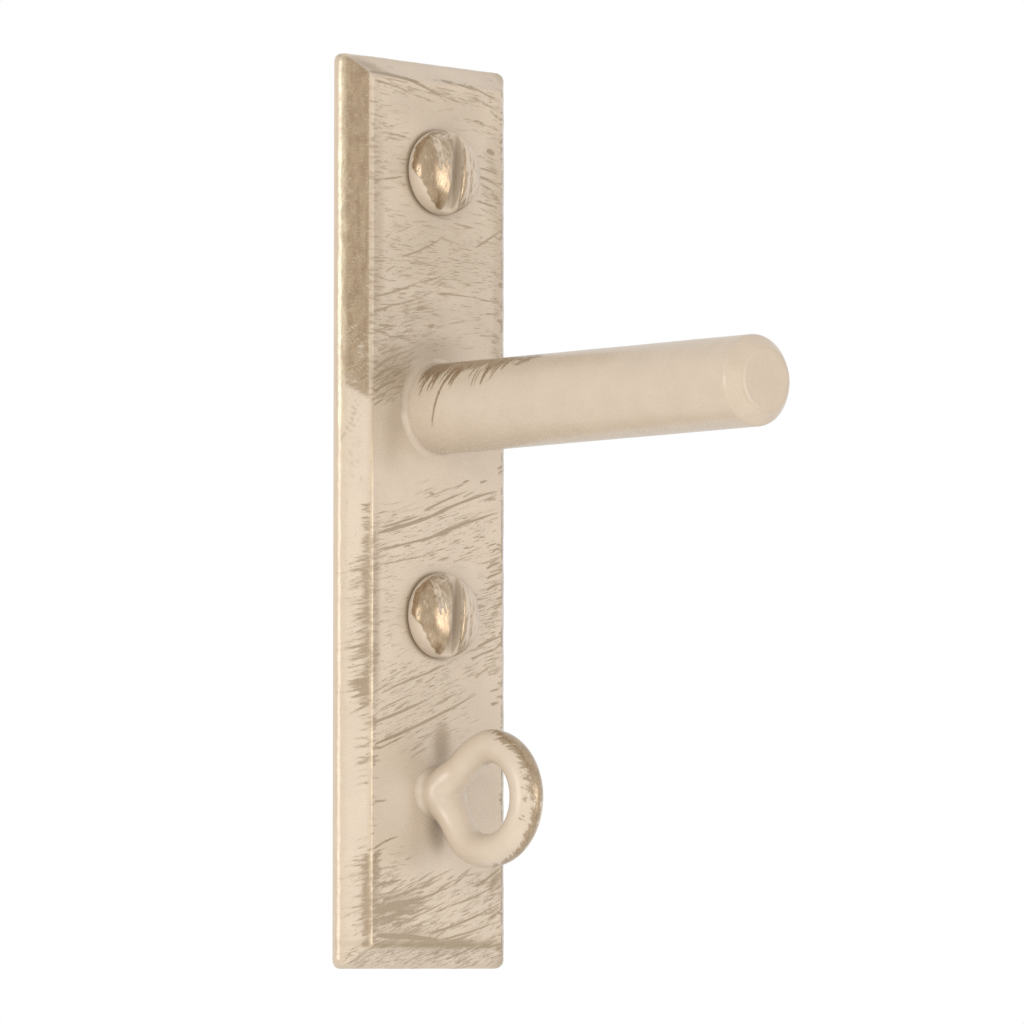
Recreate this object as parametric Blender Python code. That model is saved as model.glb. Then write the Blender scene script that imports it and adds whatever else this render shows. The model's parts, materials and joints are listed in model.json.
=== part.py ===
"""Curtain rod return bracket: a bevelled back plate that carries a round post and a turning eye.

Metres. +Z is up, +Y points into the wall and the bracket faces -Y. The origin is the centre of the
back plate's flat rear face. Every piece is drawn about the local Z axis, which the parent empty turns
to point out of the wall, so "out" below is a distance from the wall plane.
"""

import math

import bmesh
import bpy

# Back plate
PLATE_WIDTH = 0.0247
PLATE_HEIGHT = 0.1000
PLATE_THICKNESS = 0.0035
PLATE_SIDE = 0.0013
BEVEL_WIDTH = 0.0025
CORNER_RADIUS = 0.0010
CORNER_STEPS = 4

# Post, a solid bar with a slight draft
POST_HEIGHT = 0.01136
POST_LENGTH = 0.0502
POST_ROOT_RADIUS = 0.00498
POST_TIP_RADIUS = 0.00485
POST_ROOT_FILLET = 0.00045
POST_TIP_CHAMFER = 0.00135

# M4 countersunk screw that holds the post from behind
MACHINE_RADIUS = 0.0020
MACHINE_REACH = 0.0120
MACHINE_HEAD_RADIUS = 0.0039
MACHINE_HEAD_RIM = 0.0003
MACHINE_SLOT = (0.0012, 0.0009)
POST_TAPPED_DEPTH = 0.0110

# No. 10 slotted round-head wood screws, 16 mm under the head
WALL_SCREW_HEIGHTS = {"upper_wall_screw": 0.0375, "lower_wall_screw": -0.0114}
HEAD_RADIUS = 0.00467
HEAD_HEIGHT = 0.0030
HEAD_RIM = 0.0003
HEAD_SLOT = (0.0014, 0.0016)
WOOD_RADIUS = 0.00241
WOOD_CORE_RADIUS = 0.00165
WOOD_TIP = -0.0124
WOOD_POINT_LENGTH = 0.0036
THREAD_PITCH = 0.00195
THREAD_TURNS = 4

# Eye: a drop-shaped ring on a short stem, with a threaded tail through the plate
EYE_HEIGHT = -0.0307
RING_DROP = 0.0008
RING_REACH = 0.00843
RING_RADIUS = 0.00564
WIRE_RADIUS = 0.00183
POINT_REACH = 0.00084
POINT_ROUNDING = 0.0037
STEM_RADIUS = 0.0023
STEM_LENGTH = 0.0022
COLLAR_RADIUS = 0.0034
TAIL_RADIUS = 0.0020

# Thin nut and washer that hold the eye, sunk into the back of the plate
NUT_ACROSS_FLATS = 0.0070
NUT_HEIGHT = 0.0015
NUT_INSET = 0.0001
WASHER_RADIUS = 0.0038
WASHER_HEIGHT = 0.0004
POCKET_RADIUS = 0.0044
POCKET_DEPTH = 0.0025

GAP = 0.0003
FIT = 0.00025
ROUND_STEPS = 32
RING_STEPS = 44
WIRE_STEPS = 12
ARC_STEPS = 5


def clear_scene():
    for thing in list(bpy.data.objects):
        bpy.data.objects.remove(thing, do_unlink=True)


def make_material(name, colour, roughness, metallic):
    material = bpy.data.materials.new(name)
    material.use_nodes = True
    shader = material.node_tree.nodes["Principled BSDF"]
    shader.inputs["Base Color"].default_value = (*colour, 1.0)
    shader.inputs["Roughness"].default_value = roughness
    shader.inputs["Metallic"].default_value = metallic
    material.diffuse_color = (*colour, 1.0)
    return material


def add_object(name, mesh_builder, parent, place, material=None):
    """Makes a mesh object from a bmesh, at a place in its parent's frame."""
    bmesh.ops.recalc_face_normals(mesh_builder, faces=mesh_builder.faces)
    mesh = bpy.data.meshes.new(name)
    mesh_builder.to_mesh(mesh)
    mesh_builder.free()
    mesh.shade_smooth()
    mesh.set_sharp_from_angle(angle=math.radians(35))
    thing = bpy.data.objects.new(name, mesh)
    bpy.context.scene.collection.objects.link(thing)
    thing.parent = parent
    thing.location = place
    if material:
        mesh.materials.append(material)
    return thing


def as_cutter(thing):
    thing.hide_render = True
    thing.display_type = "WIRE"
    return thing


def add_boolean(thing, operation, other):
    modifier = thing.modifiers.new(f"{operation.lower()} {other.name}", "BOOLEAN")
    modifier.operation = operation
    modifier.object = other


def arc(centre, radius, start, end, steps=ARC_STEPS):
    """Points on an arc of a (radius, out) profile, angles in degrees from the radial direction."""
    turns = [math.radians(start + (end - start) * step / steps) for step in range(steps + 1)]
    return [(centre[0] + radius * math.cos(turn), centre[1] + radius * math.sin(turn)) for turn in turns]


def turned(profile, steps=ROUND_STEPS):
    """A closed body turned about Z from a (radius, out) profile that starts and ends on the axis."""
    builder = bmesh.new()
    bottom = builder.verts.new((0.0, 0.0, profile[0][1]))
    top = builder.verts.new((0.0, 0.0, profile[-1][1]))
    rows = []
    for radius, out in profile[1:-1]:
        turns = [2 * math.pi * step / steps for step in range(steps)]
        rows.append([builder.verts.new((radius * math.cos(t), radius * math.sin(t), out)) for t in turns])
    for step in range(steps):
        after = (step + 1) % steps
        builder.faces.new((bottom, rows[0][after], rows[0][step]))
        builder.faces.new((top, rows[-1][step], rows[-1][after]))
        for lower, upper in zip(rows, rows[1:]):
            builder.faces.new((lower[step], lower[after], upper[after], upper[step]))
    return builder


def tube(path, radius, steps=WIRE_STEPS):
    """A round closed loop of wire along a path in the plane X = 0."""
    builder = bmesh.new()
    rows = []
    for index, (_, y, z) in enumerate(path):
        before = path[index - 1]
        after = path[(index + 1) % len(path)]
        along = (after[1] - before[1], after[2] - before[2])
        length = math.hypot(*along)
        side = (-along[1] / length, along[0] / length)
        row = []
        for step in range(steps):
            turn = 2 * math.pi * step / steps
            shift = radius * math.cos(turn)
            row.append(builder.verts.new((radius * math.sin(turn), y + side[0] * shift, z + side[1] * shift)))
        rows.append(row)
    for index, row in enumerate(rows):
        following = rows[(index + 1) % len(rows)]
        for step in range(steps):
            after = (step + 1) % steps
            builder.faces.new((row[step], row[after], following[after], following[step]))
    return builder


def box(size, place=(0.0, 0.0, 0.0)):
    builder = bmesh.new()
    bmesh.ops.create_cube(builder, size=1.0)
    bmesh.ops.scale(builder, vec=size, verts=builder.verts)
    bmesh.ops.translate(builder, vec=place, verts=builder.verts)
    return builder


def cylinder(radius, low, high):
    return turned([(0.0, low), (radius, low), (radius, high), (0.0, high)])


def plate_outline(out):
    """Corners of the plate's rounded rectangle, one short arc at each, in order round the plate."""
    groups = []
    for quarter, (side_x, side_y) in enumerate(((1, 1), (-1, 1), (-1, -1), (1, -1))):
        centre_x = side_x * (PLATE_WIDTH / 2 - CORNER_RADIUS)
        centre_y = side_y * (PLATE_HEIGHT / 2 - CORNER_RADIUS)
        points = arc((centre_x, centre_y), CORNER_RADIUS, 90 * quarter, 90 * quarter + 90, CORNER_STEPS)
        groups.append([(x, y, out) for x, y in points])
    return groups


def make_back_plate(parent, material):
    """A flat bar with a wide bevel, whose front corners are square and whose outer corners are rounded."""
    builder = bmesh.new()
    back, shoulder = (
        [[builder.verts.new(point) for point in group] for group in plate_outline(out)]
        for out in (0.0, PLATE_SIDE)
    )
    half_x = PLATE_WIDTH / 2 - BEVEL_WIDTH
    half_y = PLATE_HEIGHT / 2 - BEVEL_WIDTH
    corners = ((1, 1), (-1, 1), (-1, -1), (1, -1))
    front = [builder.verts.new((x * half_x, y * half_y, PLATE_THICKNESS)) for x, y in corners]
    for index in range(4):
        following = (index + 1) % 4
        for step in range(CORNER_STEPS):
            low, high = back[index], shoulder[index]
            builder.faces.new((low[step], low[step + 1], high[step + 1], high[step]))
            builder.faces.new((high[step], high[step + 1], front[index]))
        low_ends = (back[index][-1], back[following][0])
        high_ends = (shoulder[index][-1], shoulder[following][0])
        builder.faces.new((*low_ends, high_ends[1], high_ends[0]))
        builder.faces.new((*high_ends, front[following], front[index]))
    builder.faces.new([vertex for group in back for vertex in group])
    builder.faces.new(front)
    plate = add_object("back_plate", builder, parent, (0.0, 0.0, 0.0), material)
    through = (-GAP, PLATE_THICKNESS + GAP)
    for name, height in WALL_SCREW_HEIGHTS.items():
        hole = cylinder(WOOD_RADIUS + GAP, *through)
        cut = as_cutter(add_object(f"{name}_hole", hole, parent, (0.0, height, 0.0)))
        add_boolean(plate, "DIFFERENCE", cut)
    add_boolean(plate, "DIFFERENCE", make_countersink(parent))
    add_boolean(plate, "DIFFERENCE", make_nut_pocket(parent))
    return plate


def make_countersink(parent):
    """The 90 degree countersink and hole for the screw that holds the post."""
    hole_radius = MACHINE_RADIUS + GAP
    rim_out = NUT_INSET + MACHINE_HEAD_RIM
    rim_radius = MACHINE_HEAD_RADIUS + GAP * math.sqrt(2)
    profile = [
        (0.0, -GAP),
        (rim_radius + rim_out + GAP, -GAP),
        (hole_radius, rim_out + rim_radius - hole_radius),
        (hole_radius, PLATE_THICKNESS + GAP),
        (0.0, PLATE_THICKNESS + GAP),
    ]
    return as_cutter(add_object("post_screw_hole", turned(profile), parent, (0.0, POST_HEIGHT, 0.0)))


def make_nut_pocket(parent):
    """The hole for the eye's tail, with the round pocket behind it for its washer and nut."""
    hole_radius = TAIL_RADIUS + GAP
    profile = [
        (0.0, -GAP),
        (POCKET_RADIUS, -GAP),
        (POCKET_RADIUS, POCKET_DEPTH),
        (hole_radius, POCKET_DEPTH),
        (hole_radius, PLATE_THICKNESS + GAP),
        (0.0, PLATE_THICKNESS + GAP),
    ]
    return as_cutter(add_object("eye_hole", turned(profile), parent, (0.0, EYE_HEIGHT, 0.0)))


def make_post(parent, material):
    """The bar that the curtain rod's hollow end slides over, tapped up its middle from the plate end."""
    base = PLATE_THICKNESS + GAP
    tip = PLATE_THICKNESS + POST_LENGTH
    bore = MACHINE_RADIUS + GAP
    fillet_centre = (POST_ROOT_RADIUS + POST_ROOT_FILLET, base + POST_ROOT_FILLET)
    profile = [(0.0, base + POST_TAPPED_DEPTH), (bore, base + POST_TAPPED_DEPTH), (bore, base)]
    profile += arc(fillet_centre, POST_ROOT_FILLET, 270, 180)
    profile += [(POST_TIP_RADIUS, tip - POST_TIP_CHAMFER), (POST_TIP_RADIUS - POST_TIP_CHAMFER, tip), (0.0, tip)]
    return add_object("post", turned(profile), parent, (0.0, POST_HEIGHT, 0.0), material)


def make_post_fixing_screw(parent, material):
    """An M4 slotted countersunk screw, driven from behind the plate up into the post."""
    rim = NUT_INSET + MACHINE_HEAD_RIM
    neck = rim + MACHINE_HEAD_RADIUS - MACHINE_RADIUS
    chamfer = MACHINE_RADIUS / 4
    profile = [
        (0.0, NUT_INSET),
        (MACHINE_HEAD_RADIUS, NUT_INSET),
        (MACHINE_HEAD_RADIUS, rim),
        (MACHINE_RADIUS, neck),
        (MACHINE_RADIUS, MACHINE_REACH - chamfer),
        (MACHINE_RADIUS - chamfer, MACHINE_REACH),
        (0.0, MACHINE_REACH),
    ]
    place = (0.0, POST_HEIGHT, 0.0)
    screw = add_object("post_fixing_screw", turned(profile), parent, place, material)
    width, depth = MACHINE_SLOT
    slot = box((3 * MACHINE_HEAD_RADIUS, width, 2 * depth), (0.0, 0.0, NUT_INSET))
    add_boolean(screw, "DIFFERENCE", as_cutter(add_object("post_screw_slot", slot, parent, place)))
    return screw


def wood_screw_profile():
    """Gimlet point, threads as ridges round the core, plain shank, and a domed head over the plate."""
    seat = PLATE_THICKNESS + GAP
    profile = [(0.0, WOOD_TIP), (WOOD_CORE_RADIUS, WOOD_TIP + WOOD_POINT_LENGTH)]
    for turn in range(THREAD_TURNS):
        start = WOOD_TIP + WOOD_POINT_LENGTH + turn * THREAD_PITCH
        profile.append((WOOD_RADIUS, start + 0.45 * THREAD_PITCH))
        profile.append((WOOD_CORE_RADIUS, start + 0.90 * THREAD_PITCH))
    thread_end = profile[-1][1] + (WOOD_RADIUS - WOOD_CORE_RADIUS)
    profile += [(WOOD_RADIUS, thread_end), (WOOD_RADIUS, seat), (HEAD_RADIUS, seat)]
    dome = HEAD_HEIGHT - HEAD_RIM
    for step in range(8):
        turn = math.radians(90 * step / 8)
        profile.append((HEAD_RADIUS * math.cos(turn), seat + HEAD_RIM + dome * math.sin(turn)))
    profile.append((0.0, seat + HEAD_HEIGHT))
    return profile


def make_wall_screw(name, height, parent, material):
    place = (0.0, height, 0.0)
    screw = add_object(name, turned(wood_screw_profile()), parent, place, material)
    width, depth = HEAD_SLOT
    top = PLATE_THICKNESS + GAP + HEAD_HEIGHT
    slot = box((width, 3 * HEAD_RADIUS, 2 * depth), (0.0, 0.0, top))
    add_boolean(screw, "DIFFERENCE", as_cutter(add_object(f"{name}_slot", slot, parent, place)))
    return screw


def drop_path():
    """Centreline of the eye's wire: a circle drawn out to a rounded point towards the plate.

    The point lies POINT_REACH in front of the plate on the stem's axis; two straight runs leave it
    and meet the circle as tangents, and an arc of POINT_ROUNDING rounds the corner between them.
    """
    span = math.hypot(RING_REACH - POINT_REACH, RING_DROP)
    half_angle = math.asin(RING_RADIUS / span)
    lean = math.atan2(-RING_DROP, RING_REACH - POINT_REACH)
    tip_span = POINT_ROUNDING / math.sin(half_angle)
    circles = ((span, RING_RADIUS, -1, RING_STEPS), (tip_span, POINT_ROUNDING, 1, RING_STEPS // 4))
    points = []
    for distance, radius, side, steps in circles:
        sweep = math.pi / 2 + half_angle if side < 0 else math.pi / 2 - half_angle
        middle = 0.0 if side < 0 else math.pi
        for step in range(steps + 1):
            turn = middle - sweep + 2 * sweep * step / steps
            points.append((distance + radius * math.cos(turn), radius * math.sin(turn)))
    turned_points = []
    for along, across in points:
        out = PLATE_THICKNESS + POINT_REACH + along * math.cos(lean) - across * math.sin(lean)
        up = along * math.sin(lean) + across * math.cos(lean)
        turned_points.append((0.0, up, out))
    return turned_points


def make_eye(parent, material):
    """Ring, stem, seating collar and threaded tail in one piece; its origin is on the turning axis."""
    seat = PLATE_THICKNESS + GAP
    flare = COLLAR_RADIUS - STEM_RADIUS
    profile = [(0.0, NUT_INSET), (TAIL_RADIUS, NUT_INSET), (TAIL_RADIUS, seat), (COLLAR_RADIUS, seat)]
    profile += arc((COLLAR_RADIUS, seat + GAP + flare), flare, 270, 180)
    profile += arc((STEM_RADIUS / 2, PLATE_THICKNESS + STEM_LENGTH), STEM_RADIUS / 2, 0, 90)
    profile.append((0.0, PLATE_THICKNESS + STEM_LENGTH + STEM_RADIUS / 2))
    place = (0.0, EYE_HEIGHT, 0.0)
    eye = add_object("eye", turned(profile), parent, place, material)
    loop = add_object("eye_loop", tube(drop_path(), WIRE_RADIUS), parent, place)
    add_boolean(eye, "UNION", as_cutter(loop))
    return eye


def ring_body(outer, inner, low, high, sides):
    """A flat ring of rectangular section; with six sides on its outer edge it is a nut."""
    builder = bmesh.new()
    edges = []
    for radius, out, count in ((inner, low, ROUND_STEPS), (outer, low, sides)):
        turns = [2 * math.pi * step / count for step in range(count)]
        row = [builder.verts.new((radius * math.cos(t), radius * math.sin(t), out)) for t in turns]
        edges += [builder.edges.new((row[index - 1], row[index])) for index in range(count)]
    bmesh.ops.triangle_fill(builder, edges=edges, use_beauty=True)
    flat = bmesh.ops.extrude_face_region(builder, geom=list(builder.faces))
    raised = [item for item in flat["geom"] if isinstance(item, bmesh.types.BMVert)]
    bmesh.ops.translate(builder, vec=(0.0, 0.0, high - low), verts=raised)
    return builder


def make_eye_fasteners(parent, material):
    """The washer and thin nut on the eye's tail, which turn with it inside the plate's pocket."""
    place = (0.0, EYE_HEIGHT, 0.0)
    bore = TAIL_RADIUS + GAP
    washer_low = NUT_INSET + NUT_HEIGHT + FIT
    washer = ring_body(WASHER_RADIUS, bore, washer_low, washer_low + WASHER_HEIGHT, ROUND_STEPS)
    nut = ring_body(NUT_ACROSS_FLATS / math.sqrt(3), bore, NUT_INSET, NUT_INSET + NUT_HEIGHT, 6)
    add_object("eye_washer", washer, parent, place, material)
    add_object("eye_nut", nut, parent, place, material)


def main():
    clear_scene()
    wall_frame = bpy.data.objects.new("wall_frame", None)
    bpy.context.scene.collection.objects.link(wall_frame)
    wall_frame.rotation_euler = (math.pi / 2, 0.0, 0.0)
    paint = make_material("cream_paint_over_gold", (0.66, 0.55, 0.41), 0.42, 0.1)
    gold = make_material("rubbed_gold", (0.56, 0.42, 0.26), 0.35, 0.8)
    zinc = make_material("zinc_plated_steel", (0.58, 0.58, 0.60), 0.35, 1.0)
    make_back_plate(wall_frame, paint)
    make_post(wall_frame, paint)
    make_post_fixing_screw(wall_frame, zinc)
    for name, height in WALL_SCREW_HEIGHTS.items():
        make_wall_screw(name, height, wall_frame, gold)
    make_eye(wall_frame, paint)
    make_eye_fasteners(wall_frame, zinc)


main()
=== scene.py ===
"""The looks of a curtain rod return bracket: cream paint over champagne gold, rubbed through in streaks.

Pieces are worked out in millimetres in the row frame (x right, y into the wall, z up) and turned to
metres when their mesh is made. "Out" is the distance in front of the wall plane, so out = -y.
Paint wear is drawn on flat sheets with strokes, stored on the vertices and frayed by noise in the
material.
"""

import json
import math

import bmesh
import bpy
import numpy as np
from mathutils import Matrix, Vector, noise


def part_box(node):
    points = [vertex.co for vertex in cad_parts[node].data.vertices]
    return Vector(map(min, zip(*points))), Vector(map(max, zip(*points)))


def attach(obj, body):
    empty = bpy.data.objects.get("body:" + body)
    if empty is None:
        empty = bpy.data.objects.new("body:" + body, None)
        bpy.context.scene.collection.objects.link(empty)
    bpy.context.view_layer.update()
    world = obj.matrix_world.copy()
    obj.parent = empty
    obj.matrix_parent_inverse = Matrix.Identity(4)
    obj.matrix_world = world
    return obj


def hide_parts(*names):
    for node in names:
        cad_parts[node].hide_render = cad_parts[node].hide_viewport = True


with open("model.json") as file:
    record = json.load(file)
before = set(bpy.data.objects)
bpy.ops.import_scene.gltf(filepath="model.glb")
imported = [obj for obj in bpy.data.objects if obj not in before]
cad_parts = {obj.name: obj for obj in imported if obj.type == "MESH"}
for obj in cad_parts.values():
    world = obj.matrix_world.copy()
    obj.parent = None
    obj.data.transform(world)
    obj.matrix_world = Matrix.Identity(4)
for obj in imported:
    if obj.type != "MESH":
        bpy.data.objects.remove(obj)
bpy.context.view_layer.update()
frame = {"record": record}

MM = 0.001


def node_box(name):
    """Lowest and highest corner of a CAD node, in millimetres."""
    low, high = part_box(name)
    return np.array(low) / MM, np.array(high) / MM


# Places and sizes that the CAD fixes
PLATE_LOW, PLATE_HIGH = node_box("back_plate")
HALF_WIDTH, _, HALF_HEIGHT = PLATE_HIGH
FACE = -PLATE_LOW[1]
POST_LOW, POST_HIGH = node_box("post")
POST_AXIS = (POST_LOW[2] + POST_HIGH[2]) / 2
POST_TIP = -POST_LOW[1]
WALL_SCREWS = ("upper_wall_screw", "lower_wall_screw")
SCREW_AXES = {name: float(sum(box[2] for box in node_box(name)) / 2) for name in WALL_SCREWS}
SCREW_TIP = -node_box(WALL_SCREWS[0])[1][1]
SWIVEL = frame["record"]["behaviour"]["joints"][0]["pos_m"]
EYE_AXIS = SWIVEL[2] / MM

# Plate section
SIDE_OUT = 1.08
BEVEL_WIDTH = 2.53
OUTER_ROUNDING = 1.10
INNER_ROUNDING = 0.60
BACK_ROUNDING = 0.15
CORNER_RADIUS = 1.0
FACE_CELL_X = 0.24
FACE_CELL_Z = 0.14
CORNER_STEPS = 6
SLOPE_STEPS = 9
LEAST_CORNER = 0.22
RIM_UNEVENNESS = 0.035
PLATE_SHARP = 40.0

# Post
POST_ROOT_RADIUS = 4.98
POST_END_RADIUS = 4.85
POST_FILLET = 0.62
POST_CHAMFER = 1.35
POST_EASING = 0.90
POST_BORE = 2.1
POST_BORE_DEPTH = 11.0
BORE_POINT = 0.8
BORE_CHAMFER = 0.3
POST_SEGMENTS = 200
POST_SHARP = 50.0
POST_SWELL = 0.004
# strength of the shade painted on the post's end
TIP_SHADE = 0.22
WORN_LENGTH = 15.0
FINE_STEP = 0.16
COARSE_STEP = 0.8

# Eye, measured from the plate's face and from the swivel's axis
RING_OUT = 8.43
RING_UP = -0.80
RING_RADIUS = 5.64
RING_SAG = 0.42
WIRE_RADIUS = 1.83
ARC_LOW = -150.0
ARC_HIGH = 136.0
APEX_OUT = 1.03
STEM_RADIUS = 2.24
STEM_FLATNESS = 0.85
STEM_FILLET = 0.85
STEM_SINK = 0.02
STEM_REACH = 2.7
STEM_EASING = 1.6
JOIN_WIDTH = 1.6
TAIL_RADIUS = 2.0

# Wall screws
HEAD_RADIUS = 4.67
HEAD_RIM = 0.3
HEAD_HEIGHT = 3.3
SLOT_HALF_WIDTH = 0.7
SLOT_FLOOR = 1.7
SLOT_FLOOR_EASING = 0.25
SLOT_EDGE_EASING = 0.30
SLOT_TURN = 5.0
SLOT_TINT = 0.16
HEAD_SQUARENESS = 3.0
SHANK_RADIUS = 2.41
CORE_RADIUS = 1.65
THREAD_PITCH = 1.95
POINT_LENGTH = 3.6

# Fasteners behind the plate
REAR_INSET = 0.1
NUT_HALF_FLATS = 3.5
NUT_HEIGHT = 1.5
WASHER_RADIUS = 3.8
WASHER_LOW = 1.85
WASHER_HEIGHT = 0.4
POCKET_RADIUS = 4.4
POCKET_DEPTH = 2.5
SINK_RADIUS = 3.9
SINK_RIM = 0.3
M4_RADIUS = 2.0
M4_PITCH = 0.7
M4_DEPTH = 0.22
MACHINE_REACH = 12.0
MACHINE_SLOT_HALF_WIDTH = 0.6
MACHINE_SLOT_FLOOR = 1.0
TAIL_CHAMFER = 0.35
NUT_CLEARANCE = 0.28
NUT_CHAMFER_RADIUS = 3.55
WASHER_CLEARANCE = 0.2
HOLE_CLEARANCE = 0.3
HOLE_SEGMENTS = 72

# Cells of the surfaces made from fields
EYE_CELL = 0.15
SCREW_CELL = 0.15

# Cells of the sheets that wear is drawn on, and the seeds of their scattered strokes
WEAR_CELL = 0.08
TINT_CELL = 0.16
POST_TINT_CELL = 0.2
HAZE_CELL = 0.25
RING_CELL = 0.03
HEAD_CELL = 0.04
SHEET_MARGIN = 0.2
HAZE_MARGIN = 3.0
PLATE_SEED = 21
POST_SEED = 4
EYE_SEED = 9
HEAD_SEED = 12


# ---- meshes

def make_mesh(name, points, faces):
    """A smooth mesh from points in millimetres, with points that meet joined and faces turned outward."""
    mesh = bpy.data.meshes.new(name)
    mesh.from_pydata((np.asarray(points) * MM).tolist(), [], [tuple(face) for face in faces])
    builder = bmesh.new()
    builder.from_mesh(mesh)
    bmesh.ops.remove_doubles(builder, verts=builder.verts, dist=0.002 * MM)
    bmesh.ops.recalc_face_normals(builder, faces=builder.faces)
    builder.to_mesh(mesh)
    builder.free()
    mesh.shade_smooth()
    return mesh


def show(name, data):
    """Puts a mesh, a light or a camera in the scene."""
    thing = bpy.data.objects.new(name, data)
    bpy.context.scene.collection.objects.link(thing)
    return thing


def place_piece(name, mesh, body, stands_for):
    """Shows a mesh that rides on a body in place of a CAD node."""
    piece = show(name, mesh)
    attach(piece, body)
    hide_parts(stands_for)


def mesh_points(mesh):
    """Vertices in millimetres as x, out and z."""
    flat = np.empty(len(mesh.vertices) * 3)
    mesh.vertices.foreach_get("co", flat)
    x, y, z = flat.reshape(-1, 3).T / MM
    return x, -y, z


def coat(mesh, material, **marks):
    """Gives a mesh its material, and the numbers on its vertices that the material reads by name."""
    for name, values in marks.items():
        layer = mesh.attributes.new(name, "FLOAT", "POINT")
        layer.data.foreach_set("value", np.asarray(values, dtype=np.float32))
    mesh.materials.append(material)


def from_axis(points, axis):
    """Points given as (x, out, height above an axis) turned into the row frame."""
    x, out, up = np.asarray(points).T
    return np.column_stack([x, -out, up + axis])


def lathe(profile, axis, segments):
    """A body turned about a line square to the wall from (radius, out) points; radius 0 closes an end."""
    turns = np.arange(segments) * 2 * math.pi / segments
    points, rows = [], []
    for radius, out in profile:
        if radius < 1e-6:
            rows.append([len(points)] * segments)
            points.append((0.0, out, 0.0))
            continue
        rows.append(list(range(len(points), len(points) + segments)))
        points += [(radius * math.cos(turn), out, radius * math.sin(turn)) for turn in turns]
    faces = []
    for lower, upper in zip(rows, rows[1:]):
        for step in range(segments):
            after = (step + 1) % segments
            corners = (lower[step], lower[after], upper[after], upper[step])
            faces.append(tuple(dict.fromkeys(corners)))
    return from_axis(points, axis), [face for face in faces if len(face) > 2]


def arc(centre, radius, start, end, steps):
    """Points of a flat arc from one angle to another, in degrees."""
    turns = np.radians(np.linspace(start, end, steps + 1))
    return [(centre[0] + radius * math.cos(turn), centre[1] + radius * math.sin(turn)) for turn in turns]


def rounded_corner(before, corner, after, radius, steps):
    """Points of the arc that rounds a corner of a flat outline, from one side to the next."""
    before, corner, after = (np.array(point, dtype=float) for point in (before, corner, after))
    inward = (before - corner) / np.linalg.norm(before - corner)
    outward = (after - corner) / np.linalg.norm(after - corner)
    half = math.acos(float(np.dot(inward, outward))) / 2
    middle = (inward + outward) / np.linalg.norm(inward + outward)
    centre = corner + middle * radius / math.sin(half)
    first = corner + inward * radius / math.tan(half) - centre
    last = corner + outward * radius / math.tan(half) - centre
    start = math.atan2(first[1], first[0])
    sweep = (math.atan2(last[1], last[0]) - start + math.pi) % (2 * math.pi) - math.pi
    turns = [start + sweep * step / steps for step in range(steps + 1)]
    return [tuple(centre + radius * np.array((math.cos(turn), math.sin(turn)))) for turn in turns]


def smooth_min(first, second, width):
    """The lesser of two values, blended where they are within width of each other."""
    share = np.clip(0.5 + 0.5 * (second - first) / width, 0.0, 1.0)
    return second * (1 - share) + first * share - width * share * (1 - share)


def smooth_max(first, second, width):
    """The greater of two values, blended where they are within width of each other."""
    return -smooth_min(-first, -second, width)


def fade(low, high, value):
    """0 below low, 1 above high, with an S between them."""
    share = np.clip((value - low) / (high - low), 0.0, 1.0)
    return share * share * (3 - 2 * share)


def iso_surface(field, low, high, cell):
    """Points and quads of the surface where field(x, out, up) is 0: surface nets, then pulled onto it."""
    axes = [np.arange(start, stop + cell, cell) for start, stop in zip(low, high)]
    grid = np.stack(np.meshgrid(*axes, indexing="ij"), axis=-1)
    value = field(*grid.reshape(-1, 3).T).reshape(grid.shape[:3])
    cells = tuple(count - 1 for count in value.shape)
    total, found = np.zeros(cells + (3,)), np.zeros(cells)
    crossings = []
    for axis in range(3):
        crossed, place, rising = crossed_edges(value, grid, axis, cell)
        crossings.append((axis, crossed, rising))
        others = [other for other in range(3) if other != axis]
        for first in (0, 1):
            for second in (0, 1):
                cut = [slice(None)] * 3
                cut[others[0]] = slice(first, first + cells[others[0]])
                cut[others[1]] = slice(second, second + cells[others[1]])
                total += place[tuple(cut)] * crossed[tuple(cut)][..., None]
                found += crossed[tuple(cut)]
    used = found > 0
    number = np.full(cells, -1)
    number[used] = np.arange(int(used.sum()))
    points = total[used] / found[used][:, None]
    quads = np.concatenate([edge_quads(number, *crossing) for crossing in crossings])
    return settle(points, field, cell), quads


def crossed_edges(value, grid, axis, cell):
    """For the grid edges along one axis: which cross the surface, where, and which way."""
    near, far = [slice(None)] * 3, [slice(None)] * 3
    near[axis], far[axis] = slice(0, -1), slice(1, None)
    first, second = value[tuple(near)], value[tuple(far)]
    crossed = (first < 0) != (second < 0)
    gap = np.where(crossed, first - second, 1.0)
    place = grid[tuple(near)].copy()
    place[..., axis] += cell * np.where(crossed, first / gap, 0.0)
    return crossed, place, first < 0


def edge_quads(number, axis, crossed, rising):
    """One quad round each crossed grid edge, joining the four cells that share the edge."""
    others = [other for other in range(3) if other != axis]
    spots = np.argwhere(crossed)
    for other in others:
        spots = spots[(spots[:, other] > 0) & (spots[:, other] < number.shape[other])]
    corners = []
    for first, second in ((1, 1), (0, 1), (0, 0), (1, 0)):
        shift = np.zeros(3, dtype=int)
        shift[others[0]], shift[others[1]] = first, second
        corners.append(number[tuple((spots - shift).T)])
    quads = np.stack(corners, axis=1)
    turned = rising[tuple(spots.T)] != (axis == 1)
    quads[turned] = quads[turned][:, ::-1]
    return quads


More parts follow.
